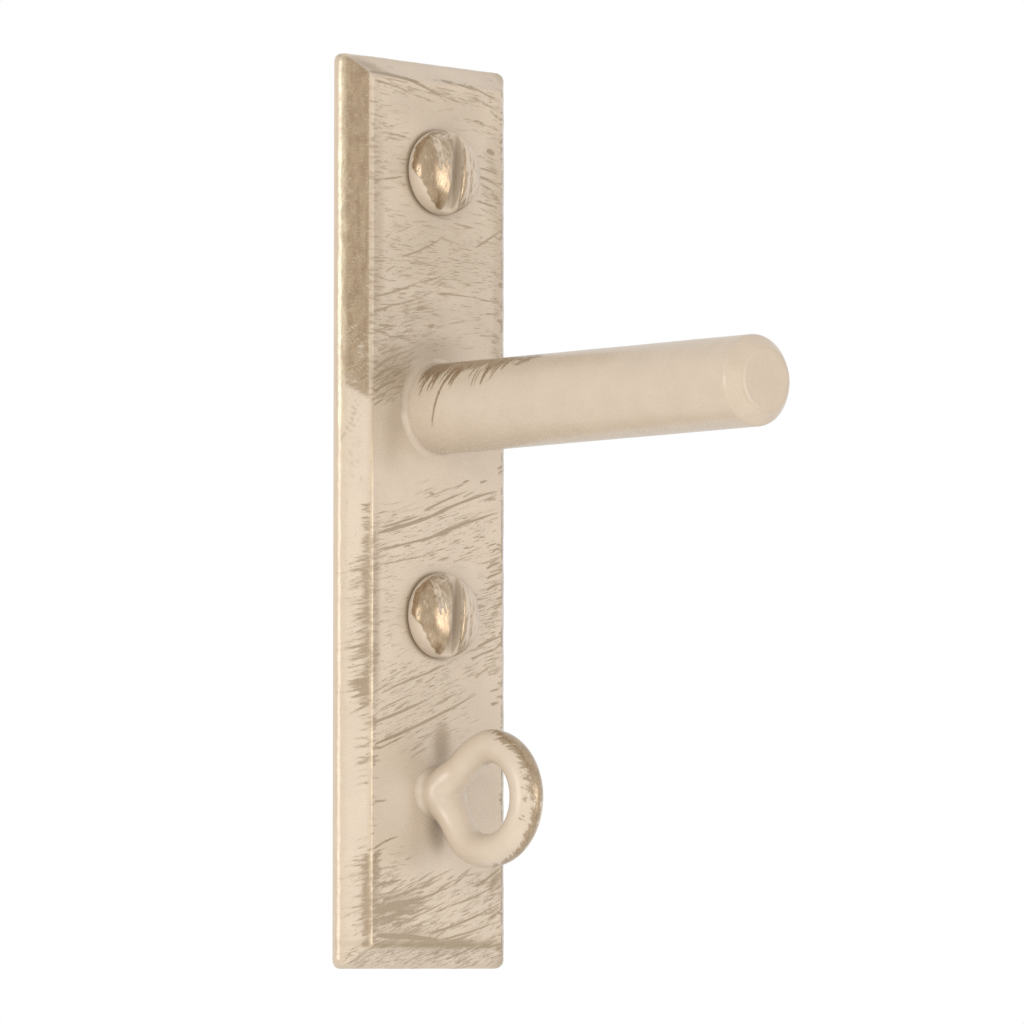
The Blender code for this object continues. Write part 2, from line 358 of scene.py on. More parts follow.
def settle(points, field, cell, rounds=4):
    """Moves points onto the surface along the field's slope."""
    step = 0.2 * cell
    for _ in range(rounds):
        slope = np.empty_like(points)
        for axis in range(3):
            shift = np.zeros(3)
            shift[axis] = step
            slope[:, axis] = (field(*(points + shift).T) - field(*(points - shift).T)) / (2 * step)
        size = np.maximum((slope ** 2).sum(axis=1), 0.05)
        move = -slope * (field(*points.T) / size)[:, None]
        length = np.linalg.norm(move, axis=1, keepdims=True)
        points = points + move * np.minimum(1.0, 0.4 * cell / np.maximum(length, 1e-9))
    return points


# ---- wear painted on flat sheets

STROKE_SOFTNESS = 0.15


class Sheet:
    """A flat sheet of wear values from 0 (paint) to 1 (bare gold), drawn on with strokes."""

    def __init__(self, low, high, cell):
        self.low, self.cell = low, cell
        columns = np.arange(low[0], high[0] + cell, cell)
        rows = np.arange(low[1], high[1] + cell, cell)
        self.values = np.zeros((len(rows), len(columns)))
        self.columns, self.rows = columns, rows

    def window(self, low, high):
        """The part of the sheet between two corners, and the place of each of its cells."""
        first = np.searchsorted(self.columns, (low[0], high[0]))
        second = np.searchsorted(self.rows, (low[1], high[1]))
        across, up = np.meshgrid(self.columns[first[0]:first[1]], self.rows[second[0]:second[1]])
        return self.values[second[0]:second[1], first[0]:first[1]], across, up

    def stroke(self, start, end, width, bow=0.0, strength=1.0, erase=False):
        """A tapered brush mark from start to end, bowed sideways by bow."""
        reach = width + abs(bow) + 0.2
        low = np.minimum(start, end) - reach
        high = np.maximum(start, end) + reach
        part, across, up = self.window(low, high)
        along = np.subtract(end, start)
        length = max(math.hypot(*along), 1e-6)
        share = ((across - start[0]) * along[0] + (up - start[1]) * along[1]) / length ** 2
        aside = ((up - start[1]) * along[0] - (across - start[0]) * along[1]) / length
        inside = np.clip(share, 0.0, 1.0)
        aside = aside - bow * 4 * inside * (1 - inside)
        taper = np.minimum(1.0, inside / 0.12) ** 0.5 * np.minimum(1.0, (1 - inside) / 0.45) ** 0.6
        half, soft = 0.5 * width * taper, STROKE_SOFTNESS / 2
        cover = np.minimum(half, aside + soft) - np.maximum(-half, aside - soft)
        mark = np.clip(cover / (2 * soft), 0.0, 1.0) * (share > 0) * (share < 1) * strength
        if erase:
            np.minimum(part, 1 - mark, out=part)
        else:
            np.maximum(part, mark, out=part)

    def scatter(self, random, low, high, count, angle, length, width, strength=(0.6, 1.0), bow=0.04,
                erase=False):
        """Many strokes in a rectangle; angle, length, width and strength are (least, most)."""
        for _ in range(count):
            middle = random.uniform(low, high)
            turn = math.radians(random.uniform(*angle))
            reach = random.uniform(*length) * np.array((math.cos(turn), math.sin(turn))) / 2
            size = math.hypot(*reach)
            self.stroke(middle - reach, middle + reach, random.uniform(*width),
                        bow=random.normal() * bow * size, strength=random.uniform(*strength), erase=erase)

    def blot(self, centre, size, angle=0.0, strength=1.0):
        """A soft oval patch."""
        reach = 2.2 * max(size)
        part, across, up = self.window(np.subtract(centre, reach), np.add(centre, reach))
        turn = math.radians(angle)
        first = ((across - centre[0]) * math.cos(turn) + (up - centre[1]) * math.sin(turn)) / size[0]
        second = ((up - centre[1]) * math.cos(turn) - (across - centre[0]) * math.sin(turn)) / size[1]
        np.maximum(part, strength * np.exp(-(first ** 2 + second ** 2) ** 1.3), out=part)

    def patch(self, low, high, edge, strength):
        """A rectangle with soft edges."""
        part, across, up = self.window(np.subtract(low, edge), np.add(high, edge))
        inside = np.minimum(across - low[0], high[0] - across)
        inside = np.minimum(inside, np.minimum(up - low[1], high[1] - up))
        np.maximum(part, strength * fade(-edge, edge, inside), out=part)

    def read(self, across, up):
        """Values at points, evened out between cells."""
        column = np.clip((across - self.low[0]) / self.cell, 0, len(self.columns) - 1.001)
        row = np.clip((up - self.low[1]) / self.cell, 0, len(self.rows) - 1.001)
        left, below = column.astype(int), row.astype(int)
        right_share, above_share = column - left, row - below
        lower = self.values[below, left] * (1 - right_share) + self.values[below, left + 1] * right_share
        upper = (self.values[below + 1, left] * (1 - right_share)
                 + self.values[below + 1, left + 1] * right_share)
        return lower * (1 - above_share) + upper * above_share


# ---- node graphs

class Net:
    """A material's node graph, with short calls for the nodes used here."""

    def __init__(self, name):
        self.material = bpy.data.materials.new(name)
        self.material.use_nodes = True
        self.tree = self.material.node_tree
        self.shader = self.tree.nodes["Principled BSDF"]

    def surface(self, name, value):
        """Links or sets one of the shader's own inputs."""
        self.put(self.shader.inputs[name], value)

    def put(self, socket, value):
        """Links a socket to a node's output, or sets it."""
        if isinstance(value, bpy.types.NodeSocket):
            self.tree.links.new(value, socket)
        elif socket.type == "RGBA":
            socket.default_value = (*value, 1.0)
        else:
            socket.default_value = value

    def math(self, operation, first, second):
        """One step of arithmetic on two values."""
        node = self.tree.nodes.new("ShaderNodeMath")
        node.operation = operation
        self.put(node.inputs[0], first)
        self.put(node.inputs[1], second)
        return node.outputs[0]

    def blend(self, low, high, value):
        """0 where value is below low, 1 above high."""
        node = self.tree.nodes.new("ShaderNodeMapRange")
        node.interpolation_type = "SMOOTHSTEP"
        for socket, given in zip(node.inputs, (value, low, high, 0.0, 1.0)):
            self.put(socket, given)
        return node.outputs[0]

    def scaled(self, value, low, high):
        """A 0 to 1 value spread from low to high."""
        return self.math("ADD", self.math("MULTIPLY", value, high - low), low)

    def place(self, scale, shift=(0.0, 0.0, 0.0)):
        """Object coordinates in millimetres, stretched by scale and then shifted."""
        node = self.tree.nodes.new("ShaderNodeMapping")
        self.put(node.inputs["Vector"], self.tree.nodes.new("ShaderNodeTexCoord").outputs["Object"])
        node.inputs["Scale"].default_value = tuple(np.broadcast_to(scale, 3) / MM)
        node.inputs["Location"].default_value = shift
        return node.outputs[0]

    def noise(self, vector, detail=2.0, roughness=0.5, distortion=0.0):
        """Cloudy values about 0.5."""
        node = self.tree.nodes.new("ShaderNodeTexNoise")
        self.put(node.inputs["Vector"], vector)
        node.inputs["Scale"].default_value = 1.0
        node.inputs["Detail"].default_value = detail
        node.inputs["Roughness"].default_value = roughness
        node.inputs["Distortion"].default_value = distortion
        return node.outputs["Fac"]

    def attribute(self, name):
        """The numbers kept on the vertices under a name."""
        node = self.tree.nodes.new("ShaderNodeAttribute")
        node.attribute_name = name
        return node.outputs["Fac"]

    def mix(self, share, first, second):
        """The first colour turning into the second as share goes from 0 to 1."""
        node = self.tree.nodes.new("ShaderNodeMix")
        node.data_type = "RGBA"
        self.put(node.inputs["Factor"], share)
        self.put(node.inputs[6], first)
        self.put(node.inputs[7], second)
        return node.outputs[2]

    def bump(self, height, distance, strength, normal=None):
        """Relief on the surface, distance millimetres high."""
        node = self.tree.nodes.new("ShaderNodeBump")
        self.put(node.inputs["Height"], height)
        node.inputs["Distance"].default_value = distance * MM
        node.inputs["Strength"].default_value = strength
        if normal is not None:
            self.put(node.inputs["Normal"], normal)
        return node.outputs[0]


CREAM = (0.446, 0.362, 0.276)
CREAM_PALE = (0.462, 0.376, 0.287)
# tan of thin paint and strokes, also used for painted shade
TAN = (0.238, 0.176, 0.110)
GOLD = (0.385, 0.280, 0.176)
GOLD_DEEP = (0.290, 0.200, 0.118)
GOLD_BRIGHT = (0.560, 0.450, 0.315)
# polished gold, brightened to stand in for the highlight along the plate's edges
POLISHED_SHEEN = (0.690, 0.575, 0.400)
LACQUER = 0.45
LACQUER_ROUGHNESS = 0.24
ZINC_BLUISH = (0.56, 0.57, 0.60)
ZINC_STRAW = (0.62, 0.60, 0.54)
ZINC_DULL = (0.38, 0.37, 0.36)
FLOOR_GREY = (0.86, 0.86, 0.85)
FLOOR_PALE = (0.89, 0.89, 0.88)


def painted_gold(name, bristles, gold_roughness=0.36, paint_roughness=0.27):
    """Cream paint over gold, guided by numbers on the vertices.

    wear says where gold shows, tint where paint is thin and where shade is painted, haze how thickly fine
    brush lines lie, metal how far worn places are bare metal, and rub how far an edge is polished, its
    bright gold partly a painted highlight. bristles makes the noise that frays the strokes, running along
    them.
    """
    net = Net(name)
    fray = bristles(net)
    grain = net.noise(net.place(6.0, (3.0, 8.0, 5.0)))
    mottle = net.noise(net.place((1.5, 1.5, 0.45), (2.0, 9.0, 4.0)), detail=4.0, roughness=0.65)
    wear = frayed_wear(net, fray, grain)
    shade = net.blend(0.06, 0.66, wear)
    patchy = net.scaled(net.blend(0.40, 0.60, mottle), 1.0, 0.55)
    # polished edges: real rubbing, with their bright colour partly a painted highlight
    rub = net.math("MULTIPLY", net.attribute("rub"), patchy)
    bare = net.math("MULTIPLY", net.blend(0.55, 0.90, wear), net.attribute("metal"))
    bare = net.math("MAXIMUM", bare, net.math("MULTIPLY", rub, 0.75))
    worn = net.mix(shade, paint_colour(net, grain), TAN)
    gold = net.mix(rub, gold_colour(net, fray, mottle), POLISHED_SHEEN)
    net.surface("Base Color", net.mix(bare, worn, gold))
    net.surface("Metallic", net.math("MULTIPLY", bare, 0.85))
    net.surface("Coat Weight", net.math("MULTIPLY", bare, LACQUER))
    net.surface("Coat Roughness", LACQUER_ROUGHNESS)
    rough = net.scaled(bare, paint_roughness, gold_roughness)
    net.surface("Roughness", net.math("ADD", rough, net.scaled(grain, -0.05, 0.05)))
    waves = net.noise(net.place(1.1, (5.0, 1.0, 9.0)))
    normal = net.bump(waves, 0.05, 0.30)
    normal = net.bump(fray, 0.010, 0.30, normal)
    normal = net.bump(shade, -0.02, 0.4, normal)
    net.surface("Normal", normal)
    return net.material


def frayed_wear(net, fray, grain):
    """The drawn strokes broken up by bristles and grain, with fine lines where the haze is thick."""
    wear = net.math("MULTIPLY", net.attribute("wear"), net.scaled(fray, -0.05, 2.1))
    wear = net.math("ADD", wear, net.scaled(grain, -0.08, 0.08))
    lines = net.math("ADD", fray, net.scaled(net.attribute("haze"), -0.76, -0.48))
    lines = net.math("MULTIPLY", net.blend(0.0, 0.05, lines), 0.66)
    return net.math("MAXIMUM", wear, lines)


def paint_colour(net, grain):
    """Cream with pale clouds, tanned where it is thin, where shade is painted and in fine specks."""
    cloud = net.noise(net.place(0.30, (11.0, 2.0, 7.0)))
    paint = net.mix(net.blend(0.35, 0.65, cloud), CREAM, CREAM_PALE)
    paint = net.mix(net.attribute("tint"), paint, TAN)
    speck = net.blend(0.66, 0.78, grain)
    return net.mix(net.math("MULTIPLY", speck, 0.20), paint, TAN)


def gold_colour(net, fray, mottle):
    """Gold mottled darker, with brighter bristle marks."""
    gold = net.mix(net.scaled(net.blend(0.38, 0.62, mottle), 0.0, 0.85), GOLD, GOLD_DEEP)
    return net.mix(net.math("MULTIPLY", net.blend(0.52, 0.74, fray), 0.55), gold, GOLD_BRIGHT)


def flat_bristles(net):
    """Bristle marks that follow the lean of the strokes on the plate, stored on its vertices."""
    source = net.tree.nodes.new("ShaderNodeTexCoord").outputs["Object"]
    split = net.tree.nodes.new("ShaderNodeSeparateXYZ")
    net.put(split.inputs[0], source)
    joined = net.tree.nodes.new("ShaderNodeCombineXYZ")
    net.put(joined.inputs[0], net.math("MULTIPLY", split.outputs[0], 0.55 / MM))
    net.put(joined.inputs[1], net.math("MULTIPLY", net.attribute("across"), 6.5))
    net.put(joined.inputs[2], net.math("MULTIPLY", split.outputs[1], 2.0 / MM))
    return net.noise(joined.outputs[0], detail=3.0, roughness=0.6)


def even_bristles(net):
    """Bristle marks alike in every direction."""
    return net.noise(net.place(3.6), detail=3.0, roughness=0.6)


def upright_bristles(net):
    """Bristle marks that run up and down."""
    return net.noise(net.place((5.0, 4.0, 1.2)), detail=3.0, roughness=0.6, distortion=0.4)


def zinc_plate(name):
    """Bright zinc with a soft bluish and straw bloom, fine turning marks and dull specks."""
    net = Net(name)
    bloom = net.noise(net.place(0.5))
    marks = net.noise(net.place((2.0, 14.0, 2.0)))
    specks = net.noise(net.place(5.0), detail=3.0, roughness=0.6)
    colour = net.mix(net.blend(0.35, 0.65, bloom), ZINC_BLUISH, ZINC_STRAW)
    colour = net.mix(net.blend(0.58, 0.75, specks), colour, ZINC_DULL)
    net.surface("Base Color", colour)
    net.surface("Metallic", 1.0)
    net.surface("Roughness", net.scaled(specks, 0.22, 0.50))
    normal = net.bump(marks, 0.012, 0.5)
    net.surface("Normal", net.bump(specks, 0.01, 0.4, normal))
    return net.material


# ---- plate

def plate_section():
    """(inset, out) of each ring, from the rear edge over the side and the bevel to the flat front."""
    rear = rounded_corner((BEVEL_WIDTH, 0.0), (0.0, 0.0), (0.0, SIDE_OUT), BACK_ROUNDING, 3)
    outer = rounded_corner((0.0, 0.0), (0.0, SIDE_OUT), (BEVEL_WIDTH, FACE), OUTER_ROUNDING, 9)
    inner = rounded_corner((0.0, SIDE_OUT), (BEVEL_WIDTH, FACE), (2 * BEVEL_WIDTH, FACE), INNER_ROUNDING, 5)
    fall = np.subtract(inner[0], outer[-1])
    slope = [tuple(np.array(outer[-1]) + fall * step / SLOPE_STEPS) for step in range(1, SLOPE_STEPS)]
    side = [(0.0, (rear[-1][1] + outer[0][1]) / 2)]
    return rear + side + outer + slope + inner + [(inner[-1][0] + step, FACE) for step in (0.06, 0.14)]


def rounded_rectangle(half_x, half_z, radius, count_x, count_z):
    """Points of one ring, always the same number of them, from the lower left corner round."""
    sides = (
        ((-1, -1), (1, -1), count_x, -90),
        ((1, -1), (1, 1), count_z, 0),
        ((1, 1), (-1, 1), count_x, 90),
        ((-1, 1), (-1, -1), count_z, 180),
    )
    points = []
    for first, last, count, turn in sides:
        along = np.subtract(last, first) / 2
        start = np.multiply(first, (half_x, half_z)) + along * radius
        stop = np.multiply(last, (half_x, half_z)) - along * radius
        points += [tuple(start + (stop - start) * step / count) for step in range(count + 1)]
        centre = np.multiply(last, (half_x - radius, half_z - radius))
        points += arc(centre, radius, turn, turn + 90, CORNER_STEPS)[1:-1]
    return points


def plate_points_and_faces():
    """The plate without its holes: rings over the edge, a fine grid in front and one face behind."""
    section = plate_section()
    flat_inset = section[-1][0]
    count_x = round(2 * (HALF_WIDTH - flat_inset) / FACE_CELL_X)
    count_z = round(2 * (HALF_HEIGHT - flat_inset) / FACE_CELL_Z)
    points, rings = [], []
    for inset, out in section:
        radius = max(CORNER_RADIUS - inset, LEAST_CORNER) if inset < flat_inset - 0.1 else 0.0
        ring = rounded_rectangle(HALF_WIDTH - inset, HALF_HEIGHT - inset, radius, count_x, count_z)
        rings.append(range(len(points), len(points) + len(ring)))
        points += [(x, -out, z) for x, z in ring]
    faces = [tuple(rings[0])]
    for lower, upper in zip(rings, rings[1:]):
        for step in range(len(lower)):
            after = (step + 1) % len(lower)
            faces.append((lower[step], lower[after], upper[after], upper[step]))
    grid = face_grid(points, rings[-1], count_x, count_z, section[-1])
    for column in range(count_x):
        for row in range(count_z):
            corners = ((column, row), (column + 1, row), (column + 1, row + 1), (column, row + 1))
            faces.append(tuple(grid[corner] for corner in corners))
    return np.array(points), faces


def face_grid(points, ring, count_x, count_z, end):
    """Vertex numbers of the front's grid; its rim is the last ring and the rest is added to points."""
    half_x, half_z = HALF_WIDTH - end[0], HALF_HEIGHT - end[0]
    corner = CORNER_STEPS - 1
    right = count_x + 1 + corner
    top = right + count_z + 1 + corner
    left = top + count_x + 1 + corner
    grid = {}
    for column in range(count_x + 1):
        grid[column, 0] = ring[column]
        grid[column, count_z] = ring[top + count_x - column]
    for row in range(1, count_z):
        grid[0, row] = ring[left + count_z - row]
        grid[count_x, row] = ring[right + row]
    for column in range(1, count_x):
        for row in range(1, count_z):
            grid[column, row] = len(points)
            x = -half_x + 2 * half_x * column / count_x
            z = -half_z + 2 * half_z * row / count_z
            points.append((x, -end[1], z))
    return grid


def uneven_edge(points):
    """Pushes the plate's rim in and out a few hundredths, as hand-finished paint leaves it."""
    x, y, z = points.T
    inset = np.minimum(HALF_WIDTH - np.abs(x), HALF_HEIGHT - np.abs(z))
    rim = (1 - fade(0.6, 2.2, inset)) * fade(0.0, 0.4, -y)
    push = np.array([noise.noise(Vector(point) * 0.55) + 0.5 * noise.noise(Vector(point) * 1.7)
                     for point in points])
    shift = RIM_UNEVENNESS * push * rim
    direction = np.column_stack([np.sign(x) * (HALF_WIDTH - np.abs(x) < 2.6), -0.6 * np.ones_like(x),
                                 np.sign(z) * (HALF_HEIGHT - np.abs(z) < 2.6)])
    return points + direction * shift[:, None]


def hole_cutter():
    """The plate's four holes as one mesh."""
    shank = SHANK_RADIUS + HOLE_CLEARANCE
    drill = [(0, -1), (shank, -1), (shank, FACE + 1), (0, FACE + 1)]
    profiles = [(axis, drill) for axis in SCREW_AXES.values()]
    rim = SINK_RADIUS + HOLE_CLEARANCE * math.sqrt(2)
    bolt = M4_RADIUS + HOLE_CLEARANCE
    sink = [(0, -1), (rim + REAR_INSET + SINK_RIM + 1, -1), (bolt, REAR_INSET + SINK_RIM + rim - bolt),
            (bolt, FACE + 1), (0, FACE + 1)]
    tail = TAIL_RADIUS + HOLE_CLEARANCE
    pocket = [(0, -1), (POCKET_RADIUS, -1), (POCKET_RADIUS, POCKET_DEPTH), (tail, POCKET_DEPTH),
              (tail, FACE + 1), (0, FACE + 1)]
    profiles += [(POST_AXIS, sink), (EYE_AXIS, pocket)]
    points, faces = [], []
    for axis, profile in profiles:
        more, loops = lathe(profile, axis, HOLE_SEGMENTS)
        faces += [tuple(len(points) + corner for corner in loop) for loop in loops]
        points += more.tolist()
    return show("holes", make_mesh("holes", points, faces))


def cut_mesh(mesh, cutter):
    """The mesh with the cutter taken out of it; the cutter is used up."""
    body = show("uncut", mesh)
    modifier = body.modifiers.new("holes", "BOOLEAN")
    modifier.operation = "DIFFERENCE"
    modifier.solver = "EXACT"
    modifier.object = cutter
    graph = bpy.context.evaluated_depsgraph_get()
    cut = bpy.data.meshes.new_from_object(body.evaluated_get(graph))
    for thing in (body, cutter):
        bpy.data.objects.remove(thing, do_unlink=True)
    return cut


def make_plate(material):
    """The back plate, with its wear read from the sheets at each vertex."""
    points, faces = plate_points_and_faces()
    mesh = cut_mesh(make_mesh("plate_solid", uneven_edge(points), faces), hole_cutter())
    mesh.name = "painted_back_plate"
    mesh.shade_smooth()
    mesh.set_sharp_from_angle(angle=math.radians(PLATE_SHARP))
    x, out, z = mesh_points(mesh)
    front = fade(0.15, 0.6, out)
    lean = np.interp(z, *zip(*STROKE_LEANS))
    mesh.materials.clear()
    coat(mesh, material, across=z - x * np.tan(np.radians(lean)), wear=plate_wear().read(x, z) * front,
         rub=edge_rub(x, out, z), metal=bare_metal(x, z), tint=plate_tint().read(x, z) * front,
         haze=plate_haze().read(x, z) * front)
    place_piece("painted_back_plate", mesh, "bracket", "back_plate")


# (height, degrees) of the brush's lean on the plate
STROKE_LEANS = ((-50, 24), (-35, 20), (-20, 20), (-5, 15), (5, 18), (13, 20), (30, -4), (50, -9))

# (start x, start z, end x, end z, width, bow) of the plate's longest brush marks
PLATE_MARKS = (
    (-9.9, 47.9, -2.6, 47.3, 0.42, 0.1), (-6.0, 47.7, 0.6, 45.9, 0.26, 0.25),
    (-9.6, 47.0, -4.4, 46.2, 0.16, 0.0), (-0.8, 46.4, 4.6, 45.4, 0.14, 0.0),
    (0.6, 48.0, 6.0, 47.1, 0.26, 0.12), (4.2, 47.9, 9.8, 46.1, 0.18, 0.0),
    (5.2, 46.5, 9.6, 45.1, 0.14, 0.0), (3.4, 44.0, 9.7, 42.9, 0.1, 0.12),
    (-0.2, 44.4, 2.8, 44.9, 0.08, 0.0), (-8.6, 41.3, -3.6, 40.8, 0.16, 0.12),
    (-7.8, 42.0, -4.8, 42.6, 0.08, 0.0), (-9.6, 36.0, -4.8, 36.8, 0.18, -0.1),
    (-9.4, 38.2, -6.6, 37.8, 0.1, 0.0), (7.5, 40.7, 8.7, 40.3, 0.62, 0.0),
    (6.3, 38.6, 9.6, 38.0, 0.18, 0.1), (6.5, 37.6, 9.6, 36.6, 0.18, 0.1), (6.4, 36.9, 9.0, 36.0, 0.16, 0.0),
    (5.8, 34.9, 9.4, 34.2, 0.2, 0.1), (6.2, 34.2, 9.6, 33.2, 0.12, 0.0), (2.4, 32.1, 5.8, 31.8, 0.14, 0.0),
    (5.8, 29.7, 9.7, 31.9, 0.2, 0.0), (-5.6, 27.8, 1.6, 31.0, 0.17, -0.35),
    (0.4, 30.3, 5.2, 29.3, 0.1, 0.12), (-4.4, 27.3, 0.9, 26.9, 0.12, 0.25),
    (-9.5, 27.0, -7.6, 27.2, 0.2, 0.0), (-2.8, 25.2, 1.0, 26.4, 0.15, -0.15),
    (-9.8, 23.1, -2.6, 25.3, 0.18, -0.2), (-9.6, 25.6, -6.4, 24.8, 0.12, 0.0),
    (0.0, 24.2, 5.4, 24.1, 0.18, 0.05), (5.0, 24.2, 9.8, 23.6, 0.14, 0.0),
    (-7.8, 22.2, -1.4, 23.9, 0.15, -0.15), (-3.2, 22.4, -1.0, 22.4, 0.15, 0.0),
    (-9.6, 21.6, -6.6, 22.3, 0.16, 0.0), (-8.9, 20.1, -6.0, 20.1, 0.22, 0.0),
    (-7.4, 18.9, -4.0, 19.3, 0.2, -0.08), (-9.7, 19.5, -6.8, 18.9, 0.18, 0.1),
    (1.6, 20.9, 5.4, 21.6, 0.1, 0.0), (6.2, 19.9, 9.6, 20.1, 0.1, 0.0), (7.2, 22.4, 9.7, 22.6, 0.16, 0.0),
    (-9.6, 15.1, -4.4, 17.6, 0.24, 0.18), (-9.5, 14.2, -5.6, 16.0, 0.26, 0.1),
    (-9.4, 12.7, -6.2, 14.4, 0.16, 0.1), (-9.6, 11.2, -7.8, 12.2, 0.15, 0.0),
    (-6.8, 14.4, -3.2, 16.3, 0.14, 0.1), (-8.8, 16.8, -3.8, 18.2, 0.14, 0.1),
    (-1.2, 2.0, -0.4, 2.1, 0.22, 0.0), (3.9, 3.5, 4.8, 3.8, 0.18, 0.0), (6.4, 3.6, 7.6, 3.9, 0.2, 0.0),
    (-2.4, 1.3, 5.6, 3.9, 0.1, 0.0), (-2.2, 0.0, 4.6, 2.6, 0.2, 0.1), (-1.0, -0.4, 9.7, 3.0, 0.26, 0.2),
    (-9.0, -2.7, 2.0, 0.5, 0.42, -0.15), (-8.4, -2.1, -1.6, -0.2, 0.2, 0.0),
    (-2.6, -3.4, 9.7, 0.6, 0.3, 0.15), (0.2, -2.2, 6.8, 0.2, 0.14, 0.0),
    (-9.2, -4.6, 3.4, -1.7, 0.22, -0.1), (-8.8, -6.2, 0.8, -4.3, 0.13, 0.0),
    (7.4, -5.9, 9.8, -5.0, 0.26, 0.1), (7.4, -7.0, 9.8, -6.2, 0.26, 0.1),
    (7.4, -8.3, 9.8, -7.4, 0.26, 0.12), (6.0, -14.6, 9.8, -13.2, 0.26, 0.05),
    (4.9, -16.0, 9.6, -14.4, 0.18, 0.0), (5.6, -18.0, 8.0, -16.7, 0.14, 0.0),
    (-6.0, -19.2, 2.2, -16.4, 0.16, 0.0), (-8.6, -20.2, -2.0, -17.6, 0.14, 0.0),
    (1.0, -20.6, 3.2, -19.6, 0.14, 0.0), (-9.7, -23.4, -1.0, -20.4, 0.32, -0.1),
    (-9.4, -25.7, 6.1, -19.7, 0.3, -0.25), (-9.0, -26.3, -4.6, -24.5, 0.16, 0),
    (-8.8, -22.0, -3.2, -19.8, 0.12, 0.0), (-9.5, -37.1, -5.6, -35.6, 0.2, 0.2),
    (-9.4, -31.9, -7.4, -31.7, 0.18, 0.0), (-9.2, -39.4, -5.6, -38.8, 0.12, 0.1),
    (-9.0, -41.0, -5.2, -40.3, 0.34, 0.0), (-5.0, -41.8, 1.0, -40.0, 0.18, -0.1),
    (-4.6, -42.9, 2.8, -40.7, 0.2, -0.1), (2.2, -41.0, 5.4, -38.7, 0.14, -0.1),
    (5.8, -41.0, 9.7, -38.7, 0.26, -0.1), (1.6, -43.2, 9.7, -40.4, 0.16, -0.25),
    (-9.6, -43.9, -1.6, -42.2, 0.7, 0.0), (-9.4, -44.8, -3.0, -43.6, 0.35, 0.0),
    (-1.4, -46.2, 9.8, -42.6, 0.24, -0.35), (-4.6, -44.9, 2.0, -42.4, 0.14, 0.0),
    (-9.0, -46.4, 0.6, -46.9, 0.6, 0.1), (3.7, -48.7, 5.7, -47.5, 0.26, 0.0),
    (0.2, -46.9, 9.6, -44.6, 0.18, -0.2), (-0.2, -47.4, 6.0, -46.0, 0.2, -0.1),
)

# Share of its listed width that a long mark is drawn with, and how strong the marks and finer strokes are
MARK_THINNING = 0.85
MARK_STRENGTH = 0.95
FINE_STRENGTH = (0.42, 0.86)

# Low corner, high corner, count, angles, lengths and widths of the finer strokes between them
PLATE_STROKES = (
    ((-9.8, 12.0), (-8.9, 47.0), 230, (-14, 14), (0.4, 1.8), (0.06, 0.15)),
    ((-9.8, -28.0), (-9.0, -1.5), 170, (-6, 26), (0.4, 1.8), (0.08, 0.18)),
    ((-9.8, -47.5), (-8.8, -37.0), 80, (-6, 30), (0.5, 2.0), (0.1, 0.24)),
    ((-9.8, -37.0), (-9.0, -28.0), 10, (0, 20), (0.4, 1.2), (0.08, 0.16)),
    ((8.6, 17.5), (9.8, 46.5), 90, (-32, -4), (0.5, 1.9), (0.06, 0.14)),
    ((8.4, -21.0), (9.8, -3.0), 60, (10, 28), (0.6, 2.2), (0.07, 0.16)),
    ((8.0, -47.5), (9.8, -38.0), 50, (18, 40), (0.6, 2.4), (0.08, 0.18)),
    ((-9.0, 45.5), (9.0, 48.0), 46, (-14, -3), (1.2, 4.0), (0.07, 0.14)),
    ((-8.0, 32.0), (-4.6, 45.0), 60, (-10, 8), (0.7, 2.6), (0.06, 0.12)),
    ((6.0, 32.0), (8.8, 44.0), 34, (-24, -6), (0.8, 2.8), (0.06, 0.13)),
    ((-3.0, 42.6), (6.0, 45.6), 12, (-8, 14), (0.8, 2.6), (0.05, 0.09)),
    ((-8.6, 24.0), (8.6, 33.4), 130, (-12, 8), (0.8, 3.2), (0.05, 0.11)),
    ((-8.0, 24.0), (4.0, 31.0), 26, (16, 32), (1.0, 3.4), (0.06, 0.13)),
    ((-8.8, 17.6), (1.0, 24.4), 110, (-8, 20), (0.8, 3.2), (0.06, 0.14)),
    ((1.0, 18.0), (9.0, 24.0), 34, (-6, 12), (0.8, 2.6), (0.05, 0.1)),
    ((-9.0, 11.6), (-3.4, 18.0), 60, (20, 36), (0.8, 3.0), (0.06, 0.15)),
    ((-2.8, 0.6), (9.0, 3.8), 26, (14, 24), (0.8, 3.6), (0.05, 0.12)),
    ((-8.8, -6.4), (9.0, 1.0), 70, (12, 22), (1.0, 4.6), (0.05, 0.11)),
    ((-8.6, -16.0), (-4.8, -6.0), 40, (-4, 16), (0.8, 2.6), (0.05, 0.1)),
    ((4.8, -18.0), (9.0, -8.0), 50, (6, 24), (0.8, 3.0), (0.06, 0.14)),
    ((-8.8, -26.5), (6.0, -15.6), 120, (18, 30), (1.0, 4.4), (0.05, 0.12)),
    ((-8.6, -40.5), (-4.0, -36.5), 20, (-4, 24), (0.6, 2.6), (0.05, 0.11)),
    ((-8.8, -47.4), (9.2, -39.4), 190, (10, 30), (0.9, 4.2), (0.06, 0.14)),
    ((-8.8, -45.4), (-2.0, -41.6), 60, (2, 24), (0.9, 3.4), (0.12, 0.26)),
    ((-12.0, -49.8), (11.0, -47.6), 80, (22, 42), (0.7, 2.6), (0.07, 0.16)),
)


